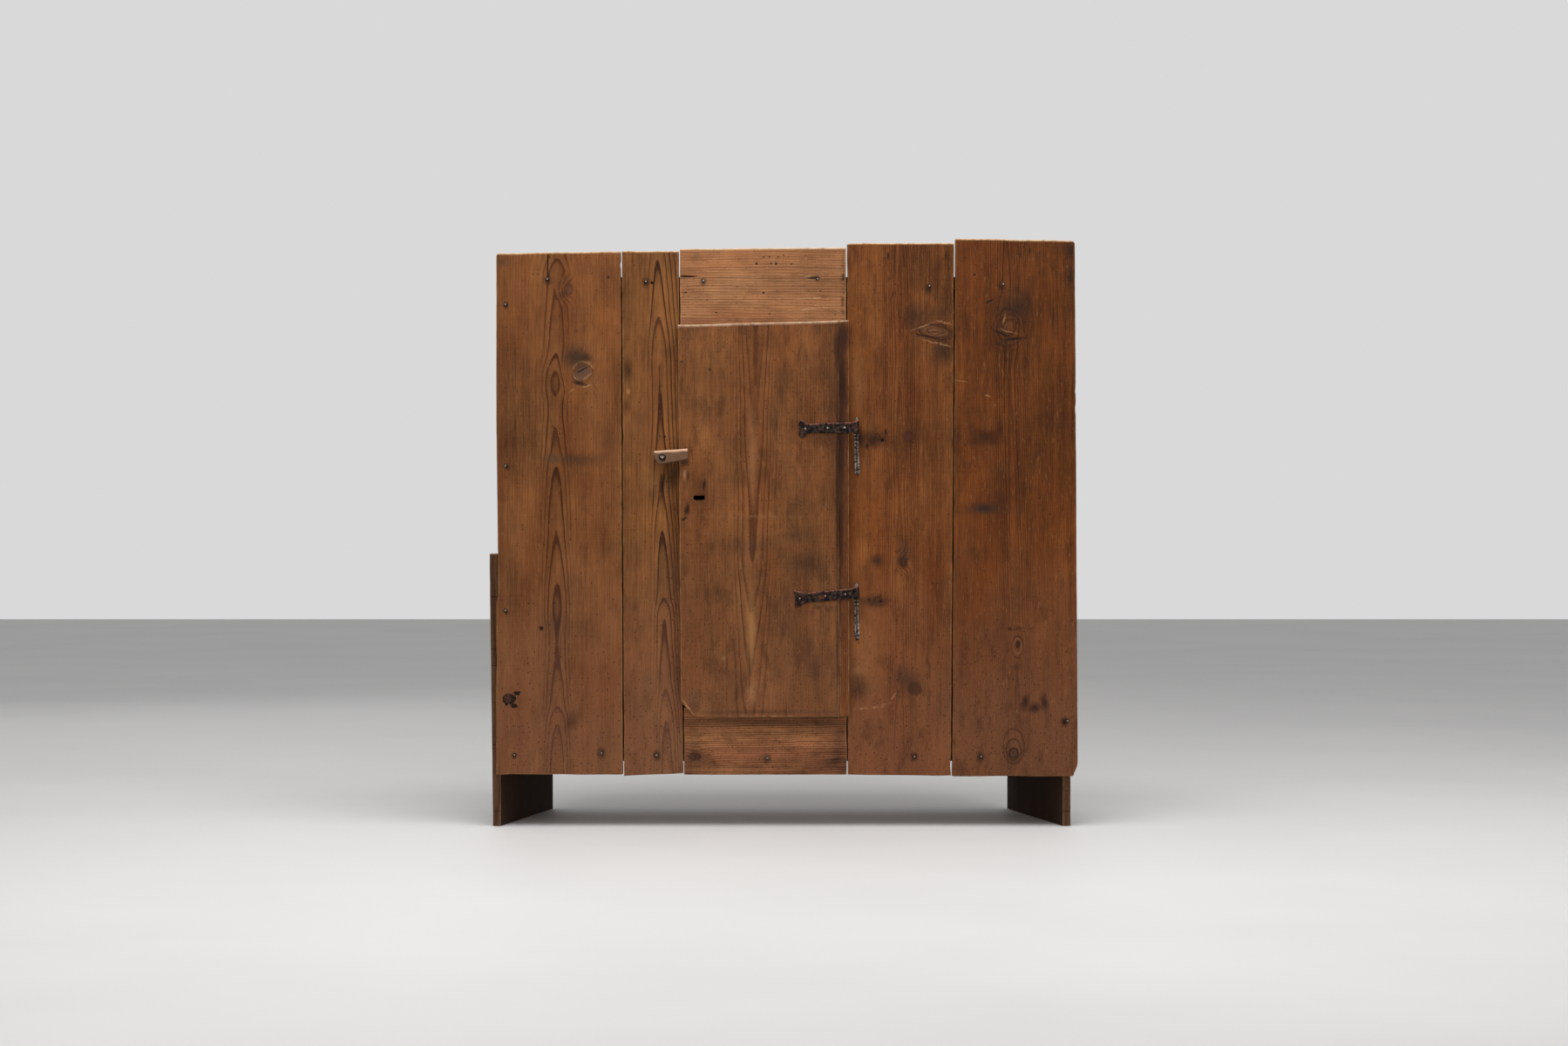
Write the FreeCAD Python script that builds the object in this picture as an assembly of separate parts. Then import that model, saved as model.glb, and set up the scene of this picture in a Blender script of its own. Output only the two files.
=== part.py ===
import FreeCAD, Part
import math
import os

# A rustic pine cupboard: upright boards of uneven height nailed across the front of a carcass whose
# sides draw in towards the back, with one ledged door on strap-and-pintle hinges and a wooden turn button.
# Sizes are in millimetres. X runs to the right along the front, Y to the back and Z up from the floor.
# Y = 0 is the front face of the front boards until the whole cupboard is centred at the end.

V = FreeCAD.Vector
UP = V(0, 0, 1)
RIGHTWARD = V(1, 0, 0)
BACKWARD = V(0, 1, 0)
FORWARD = V(0, -1, 0)

# Front boards, from left to right, with widths taken at their feet
left_board_width = 262.0
latch_board_width = 122.5
opening_width = 339.5
hinge_board_width = 213.5
right_board_width = 260.0
seam_gap = 2.0
front_thickness = 22.0
front_foot_height = 108.0
front_head_height = 1190.0

# How far each long edge leans to the right between foot and head
left_seam_lean = -4.5
opening_left_lean = -9.5
opening_right_lean = -1.5
right_seam_lean = 6.5
right_edge_lean = -6.0

# Where each board ends, as steps from the foot and head heights at its left and right corners
left_board_head_left = -4.5
left_board_head_right = -0.5
latch_board_foot_left = -2.5
latch_board_foot_right = 2.5
hinge_board_foot_right = -2.5
hinge_board_head = 16.5
right_board_foot = -3.5
right_board_head_left = 26.0
right_board_head_right = 21.5
rail_head_left = 4.0
rail_head_right = 7.0
rail_end_gap = 1.2
top_rail_height = 168.0
bottom_rail_height = 140.0

# Wear on the front boards
arris_radius = 1.6
head_corner_radius = 6.0
split_top_height = 846.0
split_deepest_height = 480.0
split_bottom_height = 461.0
split_depth = 5.0
right_foot_chip_width = 9.0
right_foot_chip_height = 23.0

# Carcass
side_depth = 400.0
left_splay = 79.0
right_splay = 87.0
foot_plank_thickness = 16.5
foot_plank_head_thickness = 23.5
foot_plank_height = 565.0
foot_plank_standout = 9.0
left_side_thickness = 22.0
left_side_foot_height = 120.0
right_side_thickness = 16.5
right_side_setback = 13.0
foot_corner_radius = 7.0
side_arris_radius = 1.5
bottom_shelf_height = 135.0
bottom_shelf_thickness = 25.0
housing_depth = 6.0
front_standup = 52.0
top_board_thickness = 26.0
middle_shelf_height = 632.0
middle_shelf_thickness = 20.0
shelf_play = 1.5
cleat_width = 24.0
cleat_height = 34.0
cleat_end_setback = 30.0
cleat_bevel = 9.0

# Back boards
back_thickness = 16.0
back_foot_height = 118.0
back_gap = 1.6
back_width_shares = (0.19, 0.22, 0.205, 0.185, 0.2)
back_standup = 14.0
back_head_drop_shares = (0.25, 0.8, 0.0, 0.55, 0.4)
back_head_drop = 14.0

# Door
door_gap = 0.5
door_thickness = 24.0
door_side_overlap = 3.2
door_top_overlap_left = 10.0
door_top_overlap_right = 20.0
door_bottom_overlap = 20.0
door_corner_cut = 30.0
door_arris_radius = 3.0
edge_strip_width = 20.0
edge_strip_raise = 1.5
ledge_height = 62.0
ledge_thickness = 19.0
ledge_bevel = 8.0
ledge_clearance = 13.0
ledge_inset = 105.0

# Keyhole, a slot that lies on its side, with its place measured from the door's lower left corner
keyhole_length = 24.0
keyhole_height = 9.6
keyhole_corner_radius = 3.6
keyhole_from_left = 25.2
keyhole_from_bottom = 449.0

# Strap hinges. The strap lies on the door's face and its rolled eye turns on a pintle.
pin_radius = 3.5
pin_play = 0.06
pin_rise = 7.5
pin_tip_bevel = 1.2
strap_thickness = 2.8
strap_height = 23.0
strap_waist = 21.4
eye_height = 27.0
eye_seat_gap = 0.3
eye_seam = 0.8
hinge_setoff = 15.5
upper_eye_height = 825.0
upper_strap_length = 121.0
upper_strap_tilt = 1.5
lower_eye_height = 484.0
lower_strap_length = 129.0
lower_strap_tilt = 5.4
tail_length = 27.0
tail_height = 37.0
tail_neck_height = 19.0
tail_end_bow = 3.0
strap_edge_radius = 0.8

# Outline of each strap's tail, as shares of its length back from the end and of half its height
scalloped_tail_shares = ((1.0, 0.51), (0.86, 0.62), (0.72, 0.56), (0.52, 0.96), (0.24, 1.0), (0.04, 0.66))
flared_tail_shares = ((1.0, 0.55), (0.4, 0.84), (0.1, 1.0), (0.0, 0.92))

# Pintle below the eye: a swaged neck, then a flat bar that runs back to the board and down its face.
# The neck is given by the share of its seat's radius at each share of its length.
neck_seat_radius = 6.2
neck_length = 22.0
neck_shares = ((0, 1.0), (0.12, 0.96), (0.2, 0.62), (0.4, 0.9), (0.58, 0.6), (0.78, 0.88), (1, 0.62))
bar_thickness = 3.6
bar_top_width = 8.8
bar_foot_width = 10.8
bar_length = 62.0
bar_slope_run = 26.0
bar_lean = 2.4

# Turn button on the latch board, with its pivot measured from the opening's left edge and the floor
pivot_from_opening = 36.0
pivot_height = 763.0
pivot_radius = 2.6
pivot_play = 0.06
pivot_depth = 18.0
pivot_taper_width = 4.0
button_arm_thickness = 13.0
button_face_gap = 0.8
button_heel_gap = 0.4
button_arm_length = 54.0
button_tail_length = 18.0
button_height = 29.0
button_heel_reach = 20.0
button_edge_cut = 2.0
button_top_bevel = 5.5
button_head_radius = 8.5
button_head_height = 4.0
button_washer_gap = 0.3

# Corners of the button, as shares of its arm length or tail length and of its height
button_corner_shares = ((0.97, 0.63), (1.0, -0.14), (-0.4, -0.53), (-0.94, -0.1), (-1.0, 0.46))

# Forged nails
nail_shank_width = 3.4
nail_tip_share = 0.25
nail_head_radius = 5.0
nail_head_height = 2.6
forged_sides = 8
front_nail_length = 56.0
back_nail_length = 45.0
side_nail_length = 48.0
plank_nail_length = 36.0
cleat_nail_length = 34.0
ledge_nail_length = 36.0
tack_shank_width = 2.6
tack_head_radius = 3.6
tack_head_height = 1.8
strap_nail_length = 22.0
pintle_nail_length = 24.0

# Forged heads, as the share of the radius at each share of the height
rose_head_shares = ((0, 1.0), (1, 0.5))
domed_head_shares = ((0, 1.0), (0.3, 0.96), (0.72, 0.68), (1, 0.3))

# Nails across the front, as shares across each board's width and of the thickness of what it is nailed to,
# up or down from the middle
left_board_head_nail_share = (0.41, 0.25)
latch_board_head_nail_share = (0.42, 0.07)
top_rail_nail_shares = ((0.145, 0.12), (0.825, 0.28))
hinge_board_head_nail_share = (0.77, -0.28)
right_board_head_nail_share = (0.4, -0.15)
left_board_foot_nail_shares = ((0.145, 0.07), (0.83, 0.24))
latch_board_foot_nail_share = (0.55, 0.06)
bottom_rail_nail_share = (0.51, -0.18)
hinge_board_foot_nail_share = (0.645, -0.07)
right_board_foot_nail_share = (0.23, -0.07)
left_edge_nail_shares = (0.33, 0.631, 0.967)
right_edge_nail_share = 0.198
back_nail_across_shares = (0.2, 0.8)
side_nail_depth_shares = (0.3, 0.68)
plank_nail_depth_shares = (0.18, 0.8)
plank_nail_height_shares = (0.3, 0.9)
cleat_nail_shares = (0.15, 0.5, 0.85)
ledge_nail_shares = (0.1, 0.36, 0.62)
upper_strap_nail_shares = (0.2, 0.49, 0.87)
lower_strap_nail_shares = (0.18, 0.5, 0.91)
pintle_nail_share = 0.9

overrun = 2.0
tolerance = 0.000001

# Places that several pieces share
front_back = front_thickness
carcass_back = front_back + side_depth
front_width = (
    left_board_width + latch_board_width + opening_width
    + hinge_board_width + right_board_width + 2 * seam_gap
)
opening_bottom = front_foot_height + bottom_rail_height
opening_top = front_head_height + rail_head_left - top_rail_height
door_back = -door_gap
door_front = door_back - door_thickness
bottom_shelf_middle = bottom_shelf_height + bottom_shelf_thickness / 2
foot_plank_swell = foot_plank_head_thickness - foot_plank_thickness
top_board_top = front_head_height - front_standup
top_board_height = top_board_top - top_board_thickness
top_board_middle = top_board_top - top_board_thickness / 2


def long_edge(foot_x, lean):
    """A board's long edge, as a function that gives its X at a height."""
    run = front_head_height - front_foot_height
    return lambda z: foot_x + lean * (z - front_foot_height) / run


latch_board_x = -front_width / 2 + left_board_width + seam_gap
opening_x = latch_board_x + latch_board_width
hinge_board_x = opening_x + opening_width
right_board_x = hinge_board_x + hinge_board_width + seam_gap

left_edge = long_edge(-front_width / 2, 0)
left_board_right = long_edge(latch_board_x - seam_gap, left_seam_lean)
latch_board_left = long_edge(latch_board_x, left_seam_lean)
opening_left = long_edge(opening_x, opening_left_lean)
opening_right = long_edge(hinge_board_x, opening_right_lean)
hinge_board_right = long_edge(right_board_x - seam_gap, right_seam_lean)
right_board_left = long_edge(right_board_x, right_seam_lean)
right_edge = long_edge(front_width / 2, right_edge_lean)


# Small tools
def flat_face(corners):
    return Part.Face(Part.makePolygon([*corners, corners[0]]))


def faceted(rings):
    """A solid with flat sides through a row of like polygons, closed at both ends."""
    faces = [flat_face(rings[0]), flat_face(rings[-1])]
    for near, far in zip(rings, rings[1:]):
        faces += [flat_face([near[i - 1], near[i], far[i], far[i - 1]]) for i in range(len(near))]
    solid = Part.Solid(Part.Shell(faces))
    if solid.Volume < 0:
        solid.reverse()
    return solid


def extrude_back(outline, y_front, thickness):
    """A solid from an outline of (x, z) points, thickened towards the back."""
    corners = [V(x, y_front, z) for x, z in outline]
    return flat_face(corners).extrude(BACKWARD * thickness)


def extrude_up(plan, z_bottom, height):
    """A solid from a plan of (x, y) points, raised from z_bottom."""
    corners = [V(x, y, z_bottom) for x, y in plan]
    return flat_face(corners).extrude(UP * height)


def runs_along(edge, direction):
    """True where a straight edge is parallel to a direction."""
    if edge.Curve.TypeId != "Part::GeomLine":
        return False
    return abs(abs(edge.Curve.Direction.dot(direction)) - 1) < tolerance


def lies_at_y(edge, y):
    """True where the whole edge lies in the plane at that Y."""
    return abs(edge.BoundBox.YMin - y) < tolerance and abs(edge.BoundBox.YMax - y) < tolerance


def lies_round(edge, centre):
    """True where an edge is a circle about a point."""
    return edge.Curve.TypeId == "Part::GeomCircle" and (edge.Curve.Center - centre).Length < tolerance


def passes(edge, point):
    return edge.distToShape(Part.Vertex(point))[0] < tolerance


def round_edges(solid, radius, wanted):
    """The solid with the edges that wanted() picks rounded over."""
    return solid.makeFillet(radius, [edge for edge in solid.Edges if wanted(edge)])


def cut_edges(solid, width, wanted):
    """The solid with the edges that wanted() picks cut off flat."""
    return solid.makeChamfer(width, [edge for edge in solid.Edges if wanted(edge)])


def one_solid(shape):
    """The single solid of a boolean result."""
    return shape.removeSplitter().Solids[0]


def between(low, high, share):
    return low + (high - low) * share


# Nails. Each is made with its head's seat at the origin and its shank along +Y, then turned and set in place.
def square_ring(half, y):
    return [V(-half, y, -half), V(half, y, -half), V(half, y, half), V(-half, y, half)]


def round_ring(radius, y):
    step = 2 * math.pi / forged_sides
    return [V(radius * math.cos(i * step), y, radius * math.sin(i * step)) for i in range(forged_sides)]


def shank(width, length):
    return faceted([square_ring(width / 2, 0), square_ring(width / 2 * nail_tip_share, length)])


def head(radius, height, level_shares=rose_head_shares):
    """A forged head, from the share of its radius at each share of its height."""
    return faceted([round_ring(radius * across, -height * up) for up, across in level_shares])


class Nails:
    """A group of like nails, and the boards that they are driven into."""

    def __init__(self, length, width=nail_shank_width, radius=nail_head_radius, height=nail_head_height):
        self.shank = shank(width, length)
        self.whole = one_solid(self.shank.fuse(head(radius, height)))
        self.places = []

    def drive(self, point, direction):
        self.places.append(FreeCAD.Placement(point, FreeCAD.Rotation(BACKWARD, direction)))

    def placed(self, shape):
        copies = []
        for place in self.places:
            copy = shape.copy()
            copy.Placement = place
            copies.append(copy)
        return copies

    def solids(self):
        return Part.makeCompound(self.placed(self.whole))

    def holes(self):
        return self.placed(self.shank)


def nailed(board, *groups):
    """A board with the holes of every nail that reaches it."""
    holes = [
        hole for group in groups for hole in group.holes() if hole.BoundBox.intersect(board.BoundBox)
    ]
    return one_solid(board.cut(holes)) if holes else board


# Front boards
def upright(left, right, foot_left, foot_right, head_left, head_right, inner_left=()):
    """The outline of an upright board. inner_left holds points down its left edge, from the head."""
    return [
        (left(foot_left), foot_left),
        (right(foot_right), foot_right),
        (right(head_right), head_right),
        (left(head_left), head_left),
        *inner_left,
    ]


def front_board(outline, rounded_corners=()):
    """A front board with worn arrises and, where named by their place in the outline, rounded corners."""
    board = extrude_back(outline, 0, front_thickness)
    for index in rounded_corners:
        x, z = outline[index]
        board = round_edges(
            board,
            head_corner_radius,
            lambda edge: runs_along(edge, BACKWARD) and passes(edge, V(x, 0, z)),
        )
    return round_edges(board, arris_radius, lambda edge: lies_at_y(edge, 0))


def make_left_board():
    head_left = front_head_height + left_board_head_left
    head_right = front_head_height + left_board_head_right
    x = left_edge(front_foot_height)
    split = [
        (x, split_top_height),
        (x + split_depth, split_deepest_height),
        (x, split_bottom_height),
    ]
    outline = upright(
        left_edge, left_board_right, front_foot_height, front_foot_height, head_left, head_right, split
    )
    return front_board(outline, (3,))


def make_latch_board():
    return front_board(
        upright(
            latch_board_left,
            opening_left,
            front_foot_height + latch_board_foot_left,
            front_foot_height + latch_board_foot_right,
            front_head_height,
            front_head_height,
        )
    )


def make_hinge_board():
    head = front_head_height + hinge_board_head
    return front_board(
        upright(
            opening_right,
            hinge_board_right,
            front_foot_height,
            front_foot_height + hinge_board_foot_right,
            head,
            head,
        )
    )


def make_right_board():
    foot = front_foot_height + right_board_foot
    outline = upright(
        right_board_left,
        right_edge,
        foot,
        foot,
        front_head_height + right_board_head_left,
        front_head_height + right_board_head_right,
    )
    chipped = [
        outline[0],
        (right_edge(foot) - right_foot_chip_width, foot),
        (right_edge(foot), foot + right_foot_chip_height),
        *outline[2:],
    ]
    return front_board(chipped, (3,))


def rail(bottom, top_left, top_right):
    """A rail across the opening, butted between the latch board and the hinge board."""
    return front_board(
        [
            (opening_left(bottom) + rail_end_gap, bottom),
            (opening_right(bottom) - rail_end_gap, bottom),
            (opening_right(top_right) - rail_end_gap, top_right),
            (opening_left(top_left) + rail_end_gap, top_left),
        ]
    )


def make_top_rail():
    return rail(
        opening_top, front_head_height + rail_head_left, front_head_height + rail_head_right
    )


def make_bottom_rail():
    return rail(front_foot_height, opening_bottom, opening_bottom)


# Carcass. Each side draws in towards the back, so its faces follow a slanted line in plan.
class SidePlane:
    """An upright plane of the carcass, given by its X at the front and how far it draws in by the back."""

    def __init__(self, front_x, draw_in):
        self.front_x = front_x
        self.draw_in = draw_in

    def x(self, y):
        return self.front_x + self.draw_in * (y - front_back) / side_depth

    def offset(self, thickness):
        """The parallel plane further to the right, at a distance measured square to it."""
        return SidePlane(self.front_x + thickness * self.stretch(), self.draw_in)

    def stretch(self):
        """How much longer a thickness is along X than square to the plane."""
        return math.hypot(self.draw_in, side_depth) / side_depth

    def normal(self):
        """The unit direction to the right, square to the plane."""
        return V(side_depth, -self.draw_in, 0).normalize()


plank_outer = SidePlane(-front_width / 2 - foot_plank_standout, left_splay)
left_outer = plank_outer.offset(foot_plank_thickness)
left_inner = left_outer.offset(left_side_thickness)
right_outer = SidePlane(front_width / 2 - right_side_setback, -right_splay)
right_inner = right_outer.offset(-right_side_thickness)


def plan_between(left, right, y_front, y_back):
    """The plan between two side planes, from one depth to another."""
    return [
        (left.x(y_front), y_front),
        (right.x(y_front), y_front),
        (right.x(y_back), y_back),
        (left.x(y_back), y_back),
    ]


def side_board(left, right, z_bottom, z_top, on_floor):
    board = extrude_up(plan_between(left, right, front_back, carcass_back), z_bottom, z_top - z_bottom)
    if on_floor:
        board = round_edges(
            board,
            foot_corner_radius,
            lambda edge: edge.BoundBox.ZMax < z_bottom + tolerance
            and (lies_at_y(edge, front_back) or lies_at_y(edge, carcass_back)),
        )
    return round_edges(board, side_arris_radius, lambda edge: runs_along(edge, UP))


def plank_face(y, z):
    """A point on the foot plank's outer face, which stands further out towards its head."""
    return V(plank_outer.offset(-foot_plank_swell * z / foot_plank_height).x(y), y, z)


def plank_inward():
    """The unit direction into the foot plank, square to its outer face."""
    return (plank_outer.normal() * foot_plank_height + UP * foot_plank_swell).normalize()


def make_foot_plank():
    """The plank outside the left side. Its back lies on the side, and it is thicker at its head."""
    section = flat_face(
        [
            plank_face(front_back, 0),
            V(left_outer.x(front_back), front_back, 0),
            V(left_outer.x(front_back), front_back, foot_plank_height),
            plank_face(front_back, foot_plank_height),
        ]
    )
    plank = section.extrude(V(left_splay, side_depth, 0))
    plank = round_edges(
        plank, side_arris_radius, lambda edge: edge.BoundBox.ZLength > foot_plank_height / 2
    )
    left = plank.BoundBox.XMin - overrun
    width = plank.BoundBox.XLength + 2 * overrun
    blank = Part.makeBox(width, side_depth, foot_plank_height, V(left, front_back, 0))
    blank = round_edges(
        blank, foot_corner_radius, lambda edge: runs_along(edge, RIGHTWARD) and edge.BoundBox.ZMax < tolerance
    )
    return one_solid(plank.common(blank))


def make_bottom_shelf():
    plan = plan_between(
        left_inner.offset(-housing_depth), right_inner.offset(housing_depth), front_back, carcass_back
    )
    return extrude_up(plan, bottom_shelf_height, bottom_shelf_thickness)


def make_top_board():
    plan = plan_between(left_outer, right_outer, front_back, carcass_back)
    board = extrude_up(plan, top_board_height, top_board_thickness)
    return round_edges(
        board,
        side_arris_radius,
        lambda edge: edge.BoundBox.ZMin > top_board_top - tolerance
        and not lies_at_y(edge, front_back)
        and not lies_at_y(edge, carcass_back),
    )


def make_middle_shelf():
    plan = plan_between(
        left_inner.offset(shelf_play),
        right_inner.offset(-shelf_play),
        front_back + shelf_play,
        carcass_back - shelf_play,
    )
    return extrude_up(plan, middle_shelf_height, middle_shelf_thickness)


def cleat(left, right, bevelled_side):
    """A shelf cleat between two side planes, with its lower inner arris bevelled."""
    y_front = front_back + cleat_end_setback
    y_back = carcass_back - cleat_end_setback
    bottom = middle_shelf_height - cleat_height
    solid = extrude_up(plan_between(left, right, y_front, y_back), bottom, cleat_height)
    middle = (y_front + y_back) / 2
    lower_arris = V(bevelled_side.x(middle), middle, bottom)
    return cut_edges(solid, cleat_bevel, lambda edge: passes(edge, lower_arris))


def back_spans():
    """The left and right X of each back board, sharing the carcass's width at the back."""
    left = left_outer.x(carcass_back)
    width = right_outer.x(carcass_back) - left
    spans = []
    for share in back_width_shares:
        spans.append((left, left + width * share / sum(back_width_shares) - back_gap))
        left += width * share / sum(back_width_shares)
    return spans


def back_board(span, drop_share):
    left, right = span
    head = top_board_top + back_standup - back_head_drop * drop_share
    outline = [(left, back_foot_height), (right, back_foot_height), (right, head), (left, head)]
    board = extrude_back(outline, carcass_back, back_thickness)
    return round_edges(board, arris_radius, lambda edge: lies_at_y(edge, carcass_back + back_thickness))


# Door
door_bottom = opening_bottom - door_bottom_overlap
door_top_left = opening_top + door_top_overlap_left
door_top_right = opening_top + door_top_overlap_right


def door_left(z):
    return opening_left(z) - door_side_overlap


def door_right(z):
    return opening_right(z) + door_side_overlap


def strip_left(z):
    return door_right(z) - edge_strip_width


def door_top(x):
    """The height of the door's sloping head at a place across it."""
    share = (x - door_left(door_top_left)) / (door_right(door_top_right) - door_left(door_top_left))
    return between(door_top_left, door_top_right, share)


def door_piece(outline):
    piece = extrude_back(outline, door_front, door_thickness)
    return round_edges(piece, door_arris_radius, lambda edge: lies_at_y(edge, door_front))


def make_door_board():
    seam_top = door_top(strip_left(door_top_right))
    outline = [
        (door_left(door_bottom) + door_corner_cut, door_bottom),
        (strip_left(door_bottom), door_bottom),
        (strip_left(seam_top), seam_top),
        (door_left(door_top_left), door_top_left),
        (door_left(door_bottom), door_bottom + door_corner_cut),
    ]
    board = door_piece(outline)
    corner = V(
        door_left(door_bottom) + keyhole_from_left, door_front - overrun, door_bottom + keyhole_from_bottom
    )
    keyhole = Part.makeBox(keyhole_length, door_thickness + 2 * overrun, keyhole_height, corner)
    keyhole = round_edges(keyhole, keyhole_corner_radius, lambda edge: runs_along(edge, BACKWARD))
    return one_solid(board.cut(keyhole))


def make_edge_strip():
    foot = door_bottom + edge_strip_raise
    seam_top = door_top(strip_left(door_top_right))
    return door_piece(
        [
            (strip_left(foot), foot),
            (door_right(foot), foot),
            (door_right(door_top_right), door_top_right),
            (strip_left(seam_top), seam_top),
        ]
    )


def ledge_span(z):
    return opening_left(z) + ledge_clearance, opening_right(z) - ledge_clearance


def ledge(middle):
    """A ledge across the door's back, with its ends and long edges bevelled."""
    left = max(ledge_span(middle - ledge_height / 2)[0], ledge_span(middle + ledge_height / 2)[0])
    right = min(ledge_span(middle - ledge_height / 2)[1], ledge_span(middle + ledge_height / 2)[1])
    low, high = middle - ledge_height / 2, middle + ledge_height / 2
    solid = extrude_back([(left, low), (right, low), (right, high), (left, high)], door_back, ledge_thickness)
    inside = door_back + ledge_thickness
    return cut_edges(solid, ledge_bevel, lambda edge: lies_at_y(edge, inside))


lower_ledge_height = opening_bottom + ledge_inset
upper_ledge_height = opening_top - ledge_inset

# Hinges
eye_radius = pin_radius + pin_play + strap_thickness
hinge_x = door_right(door_top_right) + hinge_setoff
hinge_y = door_front - strap_thickness + eye_radius


def strap_point(eye_z, tilt, along, up):
    """A point on a strap, from its distance along the strap and above its middle, as (x, z)."""
    angle = math.radians(tilt)
    x = hinge_x - along * math.cos(angle) - up * math.sin(angle)
    return x, eye_z - along * math.sin(angle) + up * math.cos(angle)


def strap(eye_z, length, tilt, tail_shares):
    """A strap with its shaped tail, and its end rolled back into an eye with an open seam."""
    upper = [(0, strap_height / 2), (length - tail_length - tail_neck_height / 2, strap_waist / 2)]
    upper += [
        (length - tail_length * back, tail_height / 2 * side) for back, side in tail_shares
    ]
    lower = [(along, -up) for along, up in reversed(upper)]
    end = [(length - tail_end_bow, 0)]
    outline = [strap_point(eye_z, tilt, along, up) for along, up in upper + end + lower]
    plate = extrude_back(outline, door_front - strap_thickness, strap_thickness)
    plate = round_edges(
        plate,
        strap_edge_radius,
        lambda edge: lies_at_y(edge, door_front - strap_thickness)
        and edge.BoundBox.XMax < hinge_x - eye_radius,
    )
    foot = eye_z - eye_height / 2
    eye = Part.makeCylinder(eye_radius, eye_height, V(hinge_x, hinge_y, foot))
    bore = Part.makeCylinder(
        pin_radius + pin_play, eye_height + 2 * overrun, V(hinge_x, hinge_y, foot - overrun)
    )
    seam = Part.makeBox(
        eye_radius + overrun,
        eye_seam,
        eye_height + 2 * overrun,
        V(hinge_x - eye_radius - overrun, door_front, foot - overrun),
    )
    return one_solid(plate.fuse(eye).cut(bore).cut(seam))


def neck(top):
    """The swaged neck of a pintle, which carries the eye and ends where the bar starts."""
    rings = [round_ring(neck_seat_radius * across, neck_length * down) for down, across in neck_shares]
    solid = faceted(rings)
    solid.Placement = FreeCAD.Placement(V(hinge_x, hinge_y, top), FreeCAD.Rotation(BACKWARD, -UP))
    return solid


def bar(top):
    """The flat bar of a pintle: it slopes back to the hinge board and lies down its face."""
    foot = top - bar_length
    slope_end = top - bar_slope_run
    head = top + neck_seat_radius / 2
    half = bar_thickness / 2
    side = [
        (hinge_y - half, head),
        (hinge_y - half, top - half),
        (-bar_thickness, slope_end),
        (-bar_thickness, foot),
        (0, foot),
        (0, slope_end - half),
        (hinge_y + half, top - bar_thickness),
        (hinge_y + half, head),
    ]
    reach = bar_foot_width / 2 + bar_lean + overrun
    corners = [V(hinge_x - reach, y, z) for y, z in side]
    side_solid = flat_face(corners).extrude(V(2 * reach, 0, 0))
    round_foot = foot + bar_foot_width / 2

    def at(x, z):
        return V(hinge_x + x, hinge_y - overrun - half, z)

    left_foot = at(bar_lean - bar_foot_width / 2, round_foot)
    right_foot = at(bar_lean + bar_foot_width / 2, round_foot)
    left_head, right_head = at(-bar_top_width / 2, head), at(bar_top_width / 2, head)
    outline = [
        Part.LineSegment(left_head, left_foot),
        Part.Arc(left_foot, at(bar_lean, foot), right_foot),
        Part.LineSegment(right_foot, right_head),
        Part.LineSegment(right_head, left_head),
    ]
    face = Part.Face(Part.Wire([curve.toShape() for curve in outline]))
    front_solid = face.extrude(BACKWARD * (overrun + bar_thickness - hinge_y + overrun))
    return side_solid.common(front_solid)


def pintle(eye_z):
    """A pintle: the pin inside the eye, the swaged neck that carries the eye, and the nailed bar."""
    top = eye_z - eye_height / 2 - eye_seat_gap
    pin_length = eye_height + eye_seat_gap + pin_rise
    pin = Part.makeCylinder(pin_radius, pin_length, V(hinge_x, hinge_y, top))
    tip = V(hinge_x, hinge_y, top + pin_length)
    pin = cut_edges(pin, pin_tip_bevel, lambda edge: lies_round(edge, tip))
    return one_solid(pin.fuse([neck(top), bar(top - neck_length)]))


def pintle_nail_point(eye_z):
    top = eye_z - eye_height / 2 - eye_seat_gap - neck_length
    return V(hinge_x + bar_lean * pintle_nail_share, -bar_thickness, top - bar_length * pintle_nail_share)


# Turn button
pivot_x = opening_left(pivot_height) - pivot_from_opening
arm_back = door_front - button_face_gap
arm_front = arm_back - button_arm_thickness


def make_button():
    """The button: an arm that lies over the door's face, with a heel that reaches back to the latch board."""
    corners = [
        (
            pivot_x + across * (button_arm_length if across > 0 else button_tail_length),
            pivot_height + up * button_height,
        )
        for across, up in button_corner_shares
    ]
    arm = extrude_back(corners, arm_front, button_arm_thickness)
    (left, left_top), (right, right_top) = corners[-1], corners[0]
    top_arris = V((left + right) / 2, arm_front, (left_top + right_top) / 2)
    arm = cut_edges(arm, button_top_bevel, lambda edge: passes(edge, top_arris))
    arm = cut_edges(
        arm, button_edge_cut, lambda edge: runs_along(edge, BACKWARD) or lies_at_y(edge, arm_front)
    )
    heel_box = Part.makeBox(
        button_tail_length + button_heel_reach,
        -button_heel_gap - arm_back,
        button_height * 2,
        V(pivot_x - button_tail_length, arm_back, pivot_height - button_height),
    )
    heel = extrude_back(corners, arm_back, -button_heel_gap - arm_back).common(heel_box)
    heel = cut_edges(heel, button_edge_cut, lambda edge: runs_along(edge, BACKWARD))
    bore = Part.makeCylinder(
        pivot_radius + pivot_play,
        overrun - arm_front + overrun,
        V(pivot_x, arm_front - overrun, pivot_height),
        BACKWARD,
    )
    return one_solid(arm.fuse(heel).cut(bore))


def make_button_nail():
    """The button's nail: a domed head, a round shank through the button and a square taper in the board."""
    seat = V(pivot_x, arm_front - button_washer_gap, pivot_height)
    domed_head = head(button_head_radius, button_head_height, domed_head_shares)
    domed_head.Placement = FreeCAD.Placement(seat, FreeCAD.Rotation())
    round_shank = Part.makeCylinder(pivot_radius, -seat.y, seat, BACKWARD)
    return one_solid(domed_head.fuse([round_shank, button_taper()]))


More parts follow.
